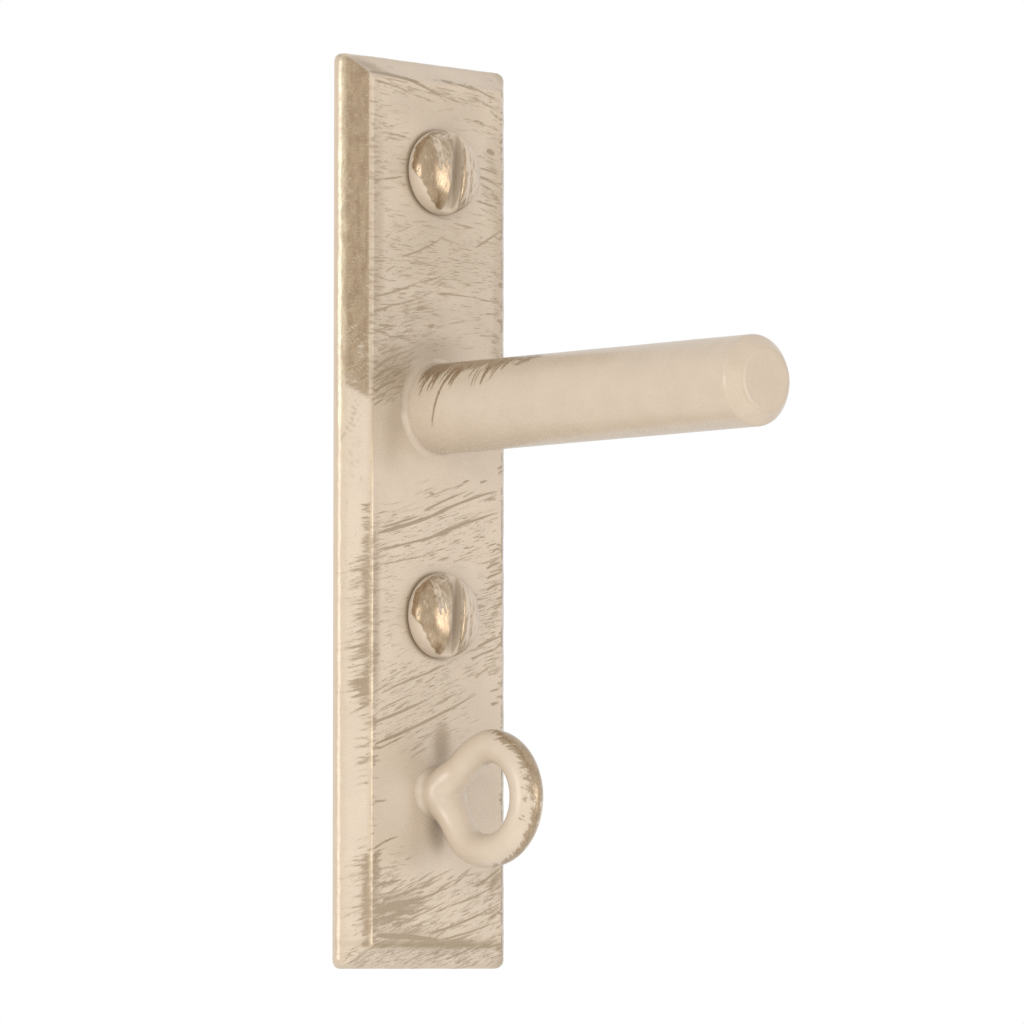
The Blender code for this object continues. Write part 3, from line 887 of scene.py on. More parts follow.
# Low corner, high corner, soft edge and thickness of the fine brush lines
PLATE_HAZE = (
    ((-9.5, 45.2), (9.5, 47.3), 1.2, 0.75), ((-9.8, 32.0), (-6.4, 46.0), 1.4, 0.6),
    ((6.8, 32.0), (9.8, 46.0), 1.4, 0.55), ((-6.0, 42.0), (6.0, 46.0), 2.0, 0.42),
    ((-5.0, 32.0), (6.0, 42.0), 2.0, 0.3), ((-9.6, 24.0), (9.6, 32.0), 2.0, 0.66),
    ((-9.6, 17.0), (1.0, 24.0), 2.0, 0.72), ((1.0, 18.0), (9.6, 24.0), 2.0, 0.5),
    ((-9.6, 12.0), (-4.6, 17.0), 2.0, 0.9), ((-3.0, 0.8), (9.6, 3.6), 1.0, 0.45),
    ((-9.6, -6.0), (9.6, 0.4), 1.0, 0.68), ((-9.6, -16.0), (-6.0, -6.0), 1.5, 0.62),
    ((6.0, -18.0), (9.8, -6.0), 1.5, 0.78), ((-6.0, -17.0), (6.0, -6.0), 1.5, 0.34),
    ((-9.6, -25.5), (5.0, -16.0), 1.5, 0.66), ((-9.8, -37.0), (-8.6, -26.0), 0.6, 0.45),
    ((-9.6, -46.8), (9.8, -39.6), 1.6, 0.66), ((-12.0, -22.0), (-9.9, -2.0), 0.8, 0.5),
    ((-12.0, -47.0), (-9.9, -37.0), 0.8, 0.5), ((-12.0, 1.0), (-10.2, 12.0), 1.0, 0.35),
    ((10.0, -48.0), (12.2, 48.0), 0.6, 0.85), ((-12.0, -49.8), (12.0, -47.6), 0.5, 0.8),
    ((-9.0, 47.8), (12.0, 49.8), 0.4, 0.35),
)


def plate_sheet(cell, margin):
    """A sheet over the whole plate and a margin round it."""
    corner = np.array((HALF_WIDTH + margin, HALF_HEIGHT + margin))
    return Sheet(-corner, corner, cell)


def plate_haze():
    """How thickly fine brush lines lie on the plate."""
    sheet = plate_sheet(HAZE_CELL, HAZE_MARGIN)
    for low, high, edge, strength in PLATE_HAZE:
        sheet.patch(low, high, edge, strength)
    return sheet


def plate_wear():
    """Gold showing on the plate, seen from the front."""
    random = np.random.default_rng(PLATE_SEED)
    sheet = plate_sheet(WEAR_CELL, SHEET_MARGIN)
    for start_x, start_z, end_x, end_z, width, bow in PLATE_MARKS:
        sheet.stroke((start_x, start_z), (end_x, end_z), MARK_THINNING * width, bow, MARK_STRENGTH)
    for low, high, count, angle, length, width in PLATE_STROKES:
        sheet.scatter(random, low, high, count, angle, length, width, FINE_STRENGTH)
    # gold behind the eye's ring, above and below its stem: paint the brush missed, and part of the ring's
    # painted shadow
    for centre, size in (((0.6, -25.4), (1.1, 2.4)), ((0.2, -35.4), (1.0, 1.9))):
        sheet.blot(centre, size, 0, 0.42)
    inner_arris_wear(sheet, random)
    bevel_wear(sheet, random)
    return sheet


def bare_metal(x, z):
    """How far worn places on the plate are bare metal: fully so only on the upper left bevel."""
    left = 1 - fade(-BEVEL_WIDTH - 7.6, -BEVEL_WIDTH - 7.2, x)
    return 0.15 + 0.85 * fade(7.5, 10.5, z) * left


def edge_rub(x, out, z):
    """Polish through to bright gold on the plate's edges, partly a painted highlight; most on the outer
    left one.
    """
    inset = np.minimum(HALF_WIDTH - np.abs(x), HALF_HEIGHT - np.abs(z))
    upper = fade(4.0, 14.0, z)
    left = 1 - fade(-HALF_WIDTH + 1.5, -HALF_WIDTH + 3.0, x)
    outer = 1 - fade(0.25, 0.85, np.hypot(inset - 0.10, out - SIDE_OUT - 0.05))
    outer = outer * (0.25 + 0.20 * left + 0.45 * left * upper)
    left = 1 - fade(-HALF_WIDTH + 2.9, -HALF_WIDTH + 3.1, x)
    # the left inner edge, polished more below, as a painted highlight line
    inner = (1 - fade(0.10, 0.34, np.abs(inset - BEVEL_WIDTH - 0.04))) * left * (0.75 - 0.4 * upper)
    return np.maximum(outer, inner)


def comb(sheet, random, x, low, high, count, angle, length, width, strength):
    """Bristle marks that start on an upright line at x and thin out away from it."""
    for _ in range(count):
        start = (x + random.uniform(-0.08, 0.08), random.uniform(low, high))
        turn = math.radians(random.uniform(*angle))
        reach = random.uniform(*length)
        end = (start[0] + reach * math.cos(turn), start[1] + reach * math.sin(turn))
        sheet.stroke(start, end, random.uniform(*width), 0.0, random.uniform(*strength))


def inner_arris_wear(sheet, random):
    """Broken dark lines along the edges between the front and the bevel."""
    rim_x, rim_z = HALF_WIDTH - BEVEL_WIDTH, HALF_HEIGHT - BEVEL_WIDTH
    for _ in range(60):
        x = random.uniform(-rim_x + 0.5, rim_x)
        z = -rim_z + random.uniform(-0.25, 0.45)
        width = random.uniform(0.10, 0.26)
        strength = random.uniform(0.4, 0.9)
        sheet.stroke((x - 0.9, z - 0.15), (x + 0.9, z + 0.25), width, strength=strength)
    for _ in range(60):
        z = random.uniform(-rim_z, rim_z)
        sheet.stroke((rim_x, z - 0.5), (rim_x + random.uniform(-0.1, 0.1), z + 0.5), 0.24, strength=0.9)


# Places on the bevels: low and high corner with x from the plate's edge, count, angles, lengths, widths
# and strengths of the strokes between them
GOLD_SCRATCHES = (
    ((0.3, 11.5), (2.2, 36.0), 40, (35, 60), (0.4, 1.6), (0.07, 0.12)),
    ((0.3, 12.0), (2.2, 20.0), 70, (35, 55), (0.6, 2.2), (0.08, 0.15)),
    ((0.3, 30.0), (2.2, 47.0), 10, (35, 80), (0.3, 0.9), (0.05, 0.1)),
)
CREAM_SCRATCHES = (
    ((0.5, 0.5), (1.8, 12.0), 22, (62, 88), (1.0, 3.6), (0.05, 0.09), (0.3, 0.8)),
)
LEFT_BRUSHING = (
    ((0.3, -49.0), (2.0, -37.0), 34, (14, 36), (0.5, 1.8), (0.05, 0.1), (0.3, 0.8)),
    ((0.3, -23.0), (2.0, -6.0), 60, (10, 30), (0.5, 2.0), (0.05, 0.1), (0.3, 0.8)),
)
RIGHT_BRUSHING = (
    ((-2.5, -48.0), (-0.3, 46.0), 420, (-20, 40), (0.5, 2.4), (0.08, 0.22)),
    ((-0.5, -48.0), (0.0, 48.0), 60, (80, 100), (1.0, 5.0), (0.1, 0.26)),
)

# Ticks that start on the left inner edge: low z, high z, count, angles, lengths, widths and strengths
LEFT_TICKS = (
    (-21.5, 0.5, 200, (184, 208), (0.15, 0.9), (0.07, 0.16), (0.7, 1.0)),
    (-21.5, -5.0, 70, (196, 212), (0.9, 2.4), (0.07, 0.12), (0.75, 1.0)),
    (-20.4, -18.4, 26, (190, 208), (0.9, 2.2), (0.09, 0.18), (0.75, 1.0)),
    (-31.0, -21.5, 24, (184, 206), (0.4, 1.6), (0.06, 0.13), (0.5, 1.0)),
    (-47.5, -37.5, 190, (184, 206), (0.15, 0.8), (0.07, 0.16), (0.6, 1.0)),
    (-47.5, -35.5, 34, (184, 206), (0.7, 2.0), (0.06, 0.13), (0.5, 1.0)),
)
TICK_START = 0.12


def brush(sheet, random, edge, rows, erase=False):
    """Scattered strokes on a bevel, with x measured from one edge of the plate."""
    for low, high, count, *ranges in rows:
        low = (edge + low[0], low[1])
        high = (edge + high[0], high[1])
        sheet.scatter(random, low, high, count, *ranges, erase=erase)


def bevel_wear(sheet, random):
    """The left bevel: nearly bare gold above, cream with fine scratches in the middle, ticks below."""
    left = -HALF_WIDTH
    part, across, up = sheet.window((left - 0.2, 10.0), (left + BEVEL_WIDTH, HALF_HEIGHT + 0.2))
    inset = across + HALF_WIDTH
    below = fade(0.0, 2.4, up - 12.0 + 0.8 * (inset - 1.2))
    band = fade(-0.05, 0.55, inset) * (1 - fade(BEVEL_WIDTH - 0.30, BEVEL_WIDTH - 0.12, inset))
    mitre = fade(0.0, 0.7, HALF_HEIGHT - up - inset + 0.5)
    np.maximum(part, 0.95 * below * band * mitre, out=part)
    brush(sheet, random, left, GOLD_SCRATCHES, erase=True)
    brush(sheet, random, left, CREAM_SCRATCHES)
    for row in LEFT_TICKS:
        comb(sheet, random, left + BEVEL_WIDTH - TICK_START, *row)
    brush(sheet, random, left, LEFT_BRUSHING)
    brush(sheet, random, HALF_WIDTH, RIGHT_BRUSHING)


# Painted shade on the plate round the screw heads, where they meet it: how strong it is and how wide
HEAD_RING_SHADE = 0.85
HEAD_RING_WIDTH = 0.42

# Middle, size, angle and strength of the soft darker patches on the plate; most are thin paint
PLATE_TINTS = (
    # the next two are painted shade just above and to the left of the post's root
    ((-1.6, 17.8), (5.0, 2.2), 8, 0.65), ((-6.6, 15.6), (3.8, 3.6), 25, 0.66),
    ((-7.0, 21.0), (3.4, 4.0), 0, 0.3), ((-2.0, 21.5), (6.0, 3.0), 0, 0.36),
    ((5.0, 22.5), (5.0, 3.0), 0, 0.22), ((-6.4, 9.8), (1.6, 5.0), -8, 0.34),
    ((0.0, 44.5), (9.6, 3.0), 0, 0.26), ((-7.6, 38.0), (2.4, 9.0), 0, 0.16),
    ((8.6, 36.0), (1.6, 11.0), 0, 0.26), ((0.0, 28.5), (10.0, 6.0), 0, 0.34),
    # the second below and the first on the line after it are the eye ring's painted shadow
    ((-1.0, -21.0), (9.0, 4.0), 20, 0.18), ((0.6, -25.6), (1.5, 2.8), 0, 0.8),
    ((0.0, -35.3), (1.4, 2.2), 0, 0.75), ((-6.0, -43.2), (3.6, 1.1), 8, 0.7),
    ((0.0, -47.3), (10.5, 0.55), 0, 0.95), ((-5.0, -46.2), (4.6, 0.9), 0, 0.5),
    ((8.8, -40.0), (1.2, 1.4), 35, 0.4), ((-9.0, 30.0), (1.1, 17.0), 0, 0.5),
    ((-9.2, -12.0), (0.6, 11.0), 0, 0.65), ((-9.2, -42.5), (0.7, 4.5), 0, 0.65),
    ((-10.2, -12.0), (0.45, 10.0), 0, 0.5), ((-10.2, -43.0), (0.45, 4.6), 0, 0.55),
    # the second below darkens the whole right bevel
    ((9.2, 31.0), (1.1, 16.0), 0, 0.42), ((11.2, 0.0), (1.0, 60.0), 0, 0.85),
    ((-9.4, 48.6), (2.4, 0.7), -18, 0.75),
)


def plate_tint():
    """Thin paint and painted shade on the plate, tinting it softly towards gold."""
    sheet = plate_sheet(TINT_CELL, SHEET_MARGIN)
    for patch in PLATE_TINTS:
        sheet.blot(*patch)
    part, across, up = sheet.window((-HALF_WIDTH, -HALF_HEIGHT), (HALF_WIDTH, HALF_HEIGHT))
    # a ring of painted shade round each screw head
    for axis in SCREW_AXES.values():
        ring = np.hypot(across, up - axis) - HEAD_RADIUS
        np.maximum(part, HEAD_RING_SHADE * (1 - fade(0.0, HEAD_RING_WIDTH, ring)), out=part)
    return sheet


# ---- post

def post_profile():
    """(radius, out) from the blind end of the tapped bore to the middle of the flat end."""
    base = FACE - 0.02
    fillet = arc((POST_ROOT_RADIUS + POST_FILLET, FACE + POST_FILLET), POST_FILLET, 270, 180, 6)
    shoulder = (POST_END_RADIUS, POST_TIP - POST_CHAMFER)
    flat = (POST_END_RADIUS - POST_CHAMFER, POST_TIP)
    edge = rounded_corner((POST_END_RADIUS, FACE), shoulder, flat, POST_EASING, 5)
    edge += rounded_corner(shoulder, flat, (0.0, POST_TIP), POST_EASING, 5)
    start, stop = fillet[-1], edge[0]
    worn_end = FACE + WORN_LENGTH
    outs = list(np.arange(start[1] + FINE_STEP, worn_end, FINE_STEP))
    outs += list(np.arange(worn_end + 0.4, stop[1] - 0.4, COARSE_STEP))
    reach = stop[1] - start[1]
    side = [(start[0] + (stop[0] - start[0]) * (out - start[1]) / reach, out) for out in outs]
    end = [(edge[-1][0] * share, POST_TIP) for share in (0.97, 0.9, 0.6, 0.3)]
    bottom = base + POST_BORE_DEPTH
    bore = [(0.0, bottom), (POST_BORE, bottom - BORE_POINT), (POST_BORE, base + BORE_CHAMFER),
            (POST_BORE + BORE_CHAMFER, base)]
    return bore + [(fillet[0][0], base)] + fillet + side + edge + end + [(0.0, POST_TIP)]


def make_post(material):
    """The post, very slightly uneven under its paint."""
    points, faces = lathe(post_profile(), POST_AXIS, POST_SEGMENTS)
    x, y, z = points.T
    radial = np.hypot(x, z - POST_AXIS)
    outer = fade(POST_BORE + 0.4, POST_BORE + 0.8, radial) * fade(FACE + 0.5, FACE + 3.0, -y)
    swell = np.array([noise.noise(Vector((x_, y_ * 0.35, z_)) * 0.45) for x_, y_, z_ in points])
    scale = 1 + POST_SWELL * swell * outer
    points = np.column_stack([x * scale, y, POST_AXIS + (z - POST_AXIS) * scale])
    mesh = make_mesh("painted_post", points, faces)
    mesh.set_sharp_from_angle(angle=math.radians(POST_SHARP))
    x, out, z = mesh_points(mesh)
    up = z - POST_AXIS
    around = -np.arctan2(x, up) * POST_ROOT_RADIUS
    outside = fade(POST_BORE + 0.5, POST_BORE + 1.0, np.hypot(x, up))
    tint = post_tint().read(out - FACE, around) * outside
    coat(mesh, material, wear=post_wear().read(out - FACE, around) * outside,
         tint=np.maximum(tint, tip_shade(x, out, up)), metal=np.ones_like(x))
    place_piece("painted_post", mesh, "bracket", "post")


# (start, end, width, bow) of single lashes on the post, each point as (out, arc to the left of the top)
LASHES = (
    ((2.9, 3.0), (2.2, 6.9), 0.3, 0.0), ((3.9, 3.0), (3.3, 6.4), 0.34, 0.0),
    ((4.4, 2.6), (3.9, 5.6), 0.5, 0.0), ((6.1, 2.8), (3.5, 10.8), 0.28, -0.45),
    ((6.5, 2.8), (5.2, 6.6), 0.2, -0.2), ((7.1, 3.0), (6.5, 5.9), 0.5, 0.0),
    ((10.2, 3.6), (10.3, 6.8), 0.16, 0.0), ((10.7, 3.6), (10.7, 6.4), 0.14, 0.0),
    ((11.8, 3.4), (11.7, 6.2), 0.46, 0.0),
)


def post_wear():
    """Lash-like marks over the top of the post near the plate."""
    random = np.random.default_rng(POST_SEED)
    sheet = Sheet((-1.0, -16.0), (50.0, 16.0), WEAR_CELL)
    for out in np.arange(1.4, 18.5, 0.27):
        reach = 5.4 - 0.12 * out + random.normal() * 0.8
        lean = random.uniform(0.04, 0.16) * reach
        start = (out + random.uniform(-0.2, 0.2), random.uniform(0.6, 2.2))
        width = random.uniform(0.16, 0.42)
        sheet.stroke(start, (start[0] - lean, reach), width, -0.12, random.uniform(0.8, 1.0))
    for out in np.arange(2.2, 16.4, 0.28):
        reach = 3.7 - 0.10 * out + random.normal() * 0.5
        start = (out + 0.4, random.uniform(-1.8, 0.1))
        sheet.stroke(start, (out - 0.2, reach), random.uniform(0.2, 0.50), 0.0, 0.9)
    for lash in LASHES:
        sheet.stroke(*lash)
    return sheet


def tip_shade(x, out, up):
    """Painted shade on the chamfer and the flat end, weaker on the chamfer's top and bottom."""
    radial = np.maximum(np.hypot(x, up), 0.01)
    rim = POST_END_RADIUS - POST_CHAMFER
    chamfer = fade(rim - 0.2, rim + 0.2, radial)
    upright = fade(0.5, 0.9, np.abs(up) / radial)
    end = fade(-0.15, 0.15, out - POST_TIP + POST_CHAMFER)
    return TIP_SHADE * end * (1 - 0.62 * chamfer * upright)


def post_tint():
    """Thin paint round the post's lashes and faintly all over; thin paint and painted shade at the root's
    upper left.
    """
    sheet = Sheet((-1.0, -17.0), (52.0, 17.0), POST_TINT_CELL)
    sheet.blot((6.0, 1.2), (8.0, 2.2), 0, 0.5)
    # the root's upper left: thin paint, and painted shade over the fillet there
    sheet.patch((-0.5, 0.5), (0.35, 8.4), 0.6, 0.55)
    sheet.patch((1.5, -15.9), (51.0, 15.9), 0.5, 0.10)
    return sheet


# ---- eye

def wire_path():
    """The wire's centre line as (out, up) points: an arc and two straight arms that meet on the stem."""
    turns = np.radians(np.linspace(ARC_LOW, ARC_HIGH, 121))
    away = fade(math.radians(80), math.radians(130), np.abs(turns))
    radius = RING_RADIUS - RING_SAG * np.sin(turns) * away
    curve = np.column_stack([RING_OUT + radius * np.cos(turns), RING_UP + radius * np.sin(turns)])
    return np.vstack([curve, (APEX_OUT, 0.0), curve[:1]])


def path_distance(path, across, up):
    """Distance from points to a path of straight pieces."""
    best = np.full(across.shape, 1e9)
    for start, end in zip(path, path[1:]):
        along = end - start
        share = ((across - start[0]) * along[0] + (up - start[1]) * along[1]) / (along @ along)
        share = np.clip(share, 0.0, 1.0)
        gap = (across - start[0] - share * along[0]) ** 2 + (up - start[1] - share * along[1]) ** 2
        np.minimum(best, gap, out=best)
    return np.sqrt(best)


def thread_radius(out, up, x, outer):
    """Radius of an M4 thread at a point; outer is the radius of its crest."""
    phase = out / M4_PITCH - np.arctan2(up, x) / (2 * math.pi)
    return outer - M4_DEPTH * 2 * np.abs(phase - np.floor(phase) - 0.5)


def eye_field(x, out, up):
    """Below 0 inside the eye; out is measured from the plate's face, up from the swivel's axis."""
    wire = np.hypot(path_distance(WIRE_PATH, out, up), x) - WIRE_RADIUS
    radial = np.hypot(x, up)
    broad = np.hypot(STEM_FLATNESS * x, up)
    rise = np.clip(STEM_FILLET - STEM_SINK - out, 0.0, STEM_FILLET)
    fillet = STEM_FILLET - np.sqrt(STEM_FILLET ** 2 - rise ** 2)
    stem = smooth_max(0.6 * (broad - STEM_RADIUS - fillet), out - STEM_REACH, STEM_EASING)
    front = smooth_max(smooth_min(wire, stem, JOIN_WIDTH), -2 * STEM_SINK - out, 0.03)
    thread = thread_radius(out, up, x, TAIL_RADIUS)
    end = REAR_INSET - FACE
    tail = np.maximum(radial - np.where(out < -0.9, thread, TAIL_RADIUS), out - 0.5)
    chamfer = (radial - TAIL_RADIUS + TAIL_CHAMFER + end - out) * 0.7
    tail = smooth_max(tail, smooth_max(end - out, chamfer, 0.05), 0.05)
    return np.minimum(front, tail)


WIRE_PATH = wire_path()


def make_eye(material):
    """The eye with its tail; shade is painted on its foot above and below the stem."""
    points, quads = iso_surface(eye_field, (-4.2, -3.6, -9.2), (4.2, 16.4, 7.2), EYE_CELL)
    mesh = make_mesh("painted_eye", from_axis(points + (0.0, FACE, 0.0), EYE_AXIS), quads)
    x, out, z = mesh_points(mesh)
    out, up = out - FACE, z - EYE_AXIS
    turn = np.arctan2(up - RING_UP, out - RING_OUT)
    lift = np.hypot(up - RING_UP, out - RING_OUT) - RING_RADIUS
    tilt = np.degrees(np.arctan2(np.abs(x), lift))
    visible = fade(0.3, 0.8, out)
    wear = eye_wear().read(np.degrees(turn) / 10, tilt / 20)
    # painted shade on the foot, above and below the stem
    tint = 0.6 * (1 - fade(0.0, 0.9, out)) * fade(1.4, 3.0, np.abs(up))
    coat(mesh, material, wear=wear * visible + 0.9 * (out < -0.05), tint=tint, metal=np.ones_like(x))
    place_piece("painted_eye", mesh, "eye_assembly", "eye")


def eye_wear():
    """Wear on the ring; across = tens of degrees round it, up = twenties of degrees from its rim."""
    random = np.random.default_rng(EYE_SEED)
    sheet = Sheet((-18.2, -0.2), (18.2, 9.2), RING_CELL)
    for _ in range(190):
        turn = random.uniform(-0.5, 11.5)
        deep = 1.1 + 2.2 * math.exp(-((turn - 5.0) / 3.0) ** 2)
        sweep = random.uniform(0.5, 1.6) * math.exp(-((turn - 4.5) / 4.0) ** 2)
        share = random.uniform(0.35, 1.0)
        end = (turn + sweep * share, share * deep)
        start = (turn, random.uniform(-0.1, 0.2))
        width = random.uniform(0.12, 0.30)
        sheet.stroke(start, end, width, strength=random.uniform(0.8, 1.0))
    for _ in range(70):
        turn = random.uniform(-0.5, 4.5)
        end = (turn + random.uniform(0.2, 0.9), random.uniform(1.2, 3.0))
        start = (turn, random.uniform(0.3, 1.2))
        width = random.uniform(0.08, 0.18)
        sheet.stroke(start, end, width, strength=random.uniform(0.5, 0.9))
    for _ in range(60):
        turn = random.uniform(-8.5, -1.0)
        end = (turn + 0.6, random.uniform(0.6, 1.6))
        sheet.stroke((turn, 0.0), end, random.uniform(0.10, 0.24), strength=0.85)
    for _ in range(14):
        turn = random.uniform(-2.4, 2.4)
        place = (turn, random.uniform(1.2, 2.6))
        sheet.stroke(place, (turn + 0.15, place[1] + 0.7), random.uniform(0.06, 0.16), 0.0, 0.8)
    part, across, up = sheet.window((-8.6, -0.2), (12.6, 3.0))
    rim = 0.45 + 0.40 * np.exp(-((across - 5.0) / 3.6) ** 2)
    np.maximum(part, 0.95 * (1 - fade(rim - 0.3, rim + 0.3, up)), out=part)
    return sheet


# ---- screws, nut and washer

def across_slot(x, up):
    """Distance from the slot's middle; the slot leans to the right at its top."""
    turn = math.radians(SLOT_TURN)
    return x * math.cos(turn) - up * math.sin(turn)


def head_field(x, out, up):
    """Below 0 inside a wall screw's slotted dome; out is measured from the plate's face."""
    radial = np.hypot(x, up) / HEAD_RADIUS
    dome_height = HEAD_HEIGHT - HEAD_RIM
    above = np.maximum(out - HEAD_RIM, 0.0) / dome_height
    power = HEAD_SQUARENESS
    share = np.maximum((radial ** power + above ** power) ** (1 / power), 0.02)
    slope = np.hypot((radial / share) ** (power - 1) / HEAD_RADIUS,
                     (above / share) ** (power - 1) / dome_height)
    dome = (share - 1) / np.maximum(slope, 0.05)
    dome = smooth_max(dome, 0.06 - out, 0.4)
    slot = smooth_max(np.abs(across_slot(x, up)) - SLOT_HALF_WIDTH, SLOT_FLOOR - out, SLOT_FLOOR_EASING)
    return smooth_max(dome, -slot, SLOT_EDGE_EASING)


def screw_field(x, out, up):
    """Below 0 inside a wall screw: head, plain shank, wood thread and point."""
    radial = np.hypot(x, up)
    tip = SCREW_TIP - FACE
    reach = np.clip((out - tip) / POINT_LENGTH, 0.0, 1.0) ** 0.75
    phase = out / THREAD_PITCH - np.arctan2(up, x) / (2 * math.pi)
    ridge = np.maximum(0.0, 1 - np.abs(phase - np.floor(phase) - 0.5) / 0.30)
    threaded = CORE_RADIUS + (SHANK_RADIUS - CORE_RADIUS) * ridge ** 0.8
    plain = fade(-0.4, 0.3, out + FACE)
    radius = (threaded * (1 - plain) + SHANK_RADIUS * plain) * reach
    shank = np.maximum(0.75 * (radial - radius), np.maximum(tip - out, out - 0.6))
    return np.minimum(head_field(x, out, up), shank)


def make_wall_screws(material):
    """Both wall screws, alike down to their wear."""
    low, high = (-4.9, SCREW_TIP - FACE - 0.4, -4.9), (4.9, HEAD_HEIGHT + 0.3, 4.9)
    points, quads = iso_surface(screw_field, low, high, SCREW_CELL)
    wear = head_wear()
    for name in WALL_SCREWS:
        row = from_axis(points + (0.0, FACE, 0.0), SCREW_AXES[name])
        mesh = make_mesh("rubbed_" + name, row, quads)
        x, out, z = mesh_points(mesh)
        up, out = z - SCREW_AXES[name], out - FACE
        tint = np.where(out > 0.05, head_tint(x, out, up), 0.0)
        bare = np.where(out > 0.12, wear.read(*unrolled(x, out, up)), 1.0)
        coat(mesh, material, wear=bare * (1 - fade(0.0, 0.08, tint)), tint=tint, metal=np.ones_like(x))
        place_piece("rubbed_" + name, mesh, "bracket", name)


def unrolled(x, out, up):
    """Places on a head's dome laid out flat: across and up from its middle, the rim at HEAD_RADIUS."""
    radial = np.hypot(x, up)
    above = np.maximum(out - HEAD_RIM, 0.0) / (HEAD_HEIGHT - HEAD_RIM)
    reach = np.arctan2(radial / HEAD_RADIUS, above) * 2 / math.pi * HEAD_RADIUS
    scale = reach / np.maximum(radial, 1e-6)
    return x * scale, up * scale


def head_wear():
    """Gold and cream on a screw's head, laid out flat."""
    random = np.random.default_rng(HEAD_SEED)
    sheet = Sheet((-5.0, -5.0), (5.0, 5.0), HEAD_CELL)
    part, across, up = sheet.window((-5, -5), (5, 5))
    turn = np.degrees(np.arctan2(up, across)) % 360
    rim = np.interp(turn, *zip(*CREAM_RIM)) + 0.07 * np.sin(turn / 5.5) + 0.05 * np.sin(turn / 2.3 + 1.0)
    part[:] = 1 - fade(rim - 0.07, rim + 0.07, np.hypot(across, up))
    for row in HEAD_CREAM:
        sheet.scatter(random, *row, erase=True)
    sheet.stroke((-2.0, 3.1), (-1.7, 0.9), 0.14, 0.1, erase=True)
    sheet.stroke((0.52, -1.5), (0.72, 1.9), 0.20)
    return sheet


# Low corner, high corner, count, angles, lengths, widths, strengths and bow of the cream strokes on a head
HEAD_CREAM = (
    ((-1.75, 0.5), (-0.45, 2.9), 70, (92, 128), (0.4, 1.5), (0.07, 0.16), (0.6, 1.0), 0.25),
    ((-0.75, -0.7), (-0.48, 1.8), 12, (84, 98), (0.5, 1.4), (0.06, 0.14), (0.6, 1.0), 0.04),
    ((-1.3, 2.3), (0.4, 3.6), 30, (0, 60), (0.4, 1.2), (0.1, 0.24), (0.6, 1.0), 0.04),
    ((-3.6, -2.4), (-1.6, 2.6), 26, (50, 130), (0.3, 1.0), (0.05, 0.12), (0.4, 0.9), 0.25),
    ((0.6, -1.6), (3.8, 3.6), 190, (72, 108), (0.8, 2.6), (0.12, 0.32), (0.6, 1.0), 0.12),
    ((1.9, -3.0), (4.2, 1.0), 60, (60, 90), (0.8, 2.0), (0.12, 0.3), (0.6, 1.0), 0.12),
    ((-0.7, -3.4), (0.6, -2.2), 24, (80, 110), (0.4, 1.2), (0.12, 0.28), (0.6, 1.0), 0.04),
)

# (degrees round an unrolled head from the right, radius outside which cream covers it)
CREAM_RIM = (
    (0, 4.0), (60, 3.6), (100, 3.5), (122, 3.9), (150, 4.25), (178, 4.1), (187, 3.6), (192, 3.32),
    (200, 3.12), (210, 2.88), (218, 2.92), (229, 3.12), (240, 3.2), (251, 3.32), (264, 3.42), (285, 3.8),
    (330, 4.1), (360, 4.0),
)


def head_tint(x, out, up):
    """A tan tint over the paint inside the slot."""
    slot = 1 - fade(SLOT_HALF_WIDTH - 0.02, SLOT_HALF_WIDTH + 0.12, np.abs(across_slot(x, up)))
    return SLOT_TINT * slot * (1 - fade(2.7, 3.2, out))


def machine_screw_field(x, out, up):
    """Below 0 inside the slotted countersunk screw; out is measured from the wall plane."""
    radial = np.hypot(x, up)
    rim = REAR_INSET + SINK_RIM
    head = np.maximum((radial + out - SINK_RADIUS - rim) / math.sqrt(2), REAR_INSET - out)
    head = smooth_max(head, radial - SINK_RADIUS, 0.1)
    thread = thread_radius(out, up, x, M4_RADIUS)
    shank = np.maximum(radial - thread, np.maximum(out - MACHINE_REACH, 1.0 - out))
    slot = np.maximum(np.abs(up) - MACHINE_SLOT_HALF_WIDTH, out - MACHINE_SLOT_FLOOR)
    return smooth_max(np.minimum(head, shank), -slot, 0.12)


def nut_field(x, out, up):
    """Below 0 inside the hexagon nut; out is measured from the wall plane."""
    radial = np.hypot(x, up)
    middle = REAR_INSET + NUT_HEIGHT / 2
    flats = [np.abs(x * math.cos(turn) + up * math.sin(turn)) for turn in np.radians((30, 90, 150))]
    side = np.maximum.reduce(flats) - NUT_HALF_FLATS
    height = np.abs(out - middle) - NUT_HEIGHT / 2
    chamfer = 0.87 * (height + 0.577 * (radial - NUT_CHAMFER_RADIUS))
    bore = thread_radius(out, up, x, TAIL_RADIUS + NUT_CLEARANCE) - radial
    mouth = (TAIL_RADIUS + TAIL_CHAMFER - radial - height) * 0.7
    solid = np.maximum(smooth_max(side, height, 0.08), chamfer)
    return smooth_max(solid, np.maximum(bore, np.minimum(mouth, 5.0) - 0.3), 0.06)


def washer_field(x, out, up):
    """Below 0 inside the washer; out is measured from the wall plane."""
    radial = np.hypot(x, up)
    height = np.abs(out - WASHER_LOW - WASHER_HEIGHT / 2) - WASHER_HEIGHT / 2
    width = (WASHER_RADIUS - TAIL_RADIUS - WASHER_CLEARANCE) / 2
    side = np.abs(radial - WASHER_RADIUS + width) - width
    return smooth_max(side, height, 0.1)


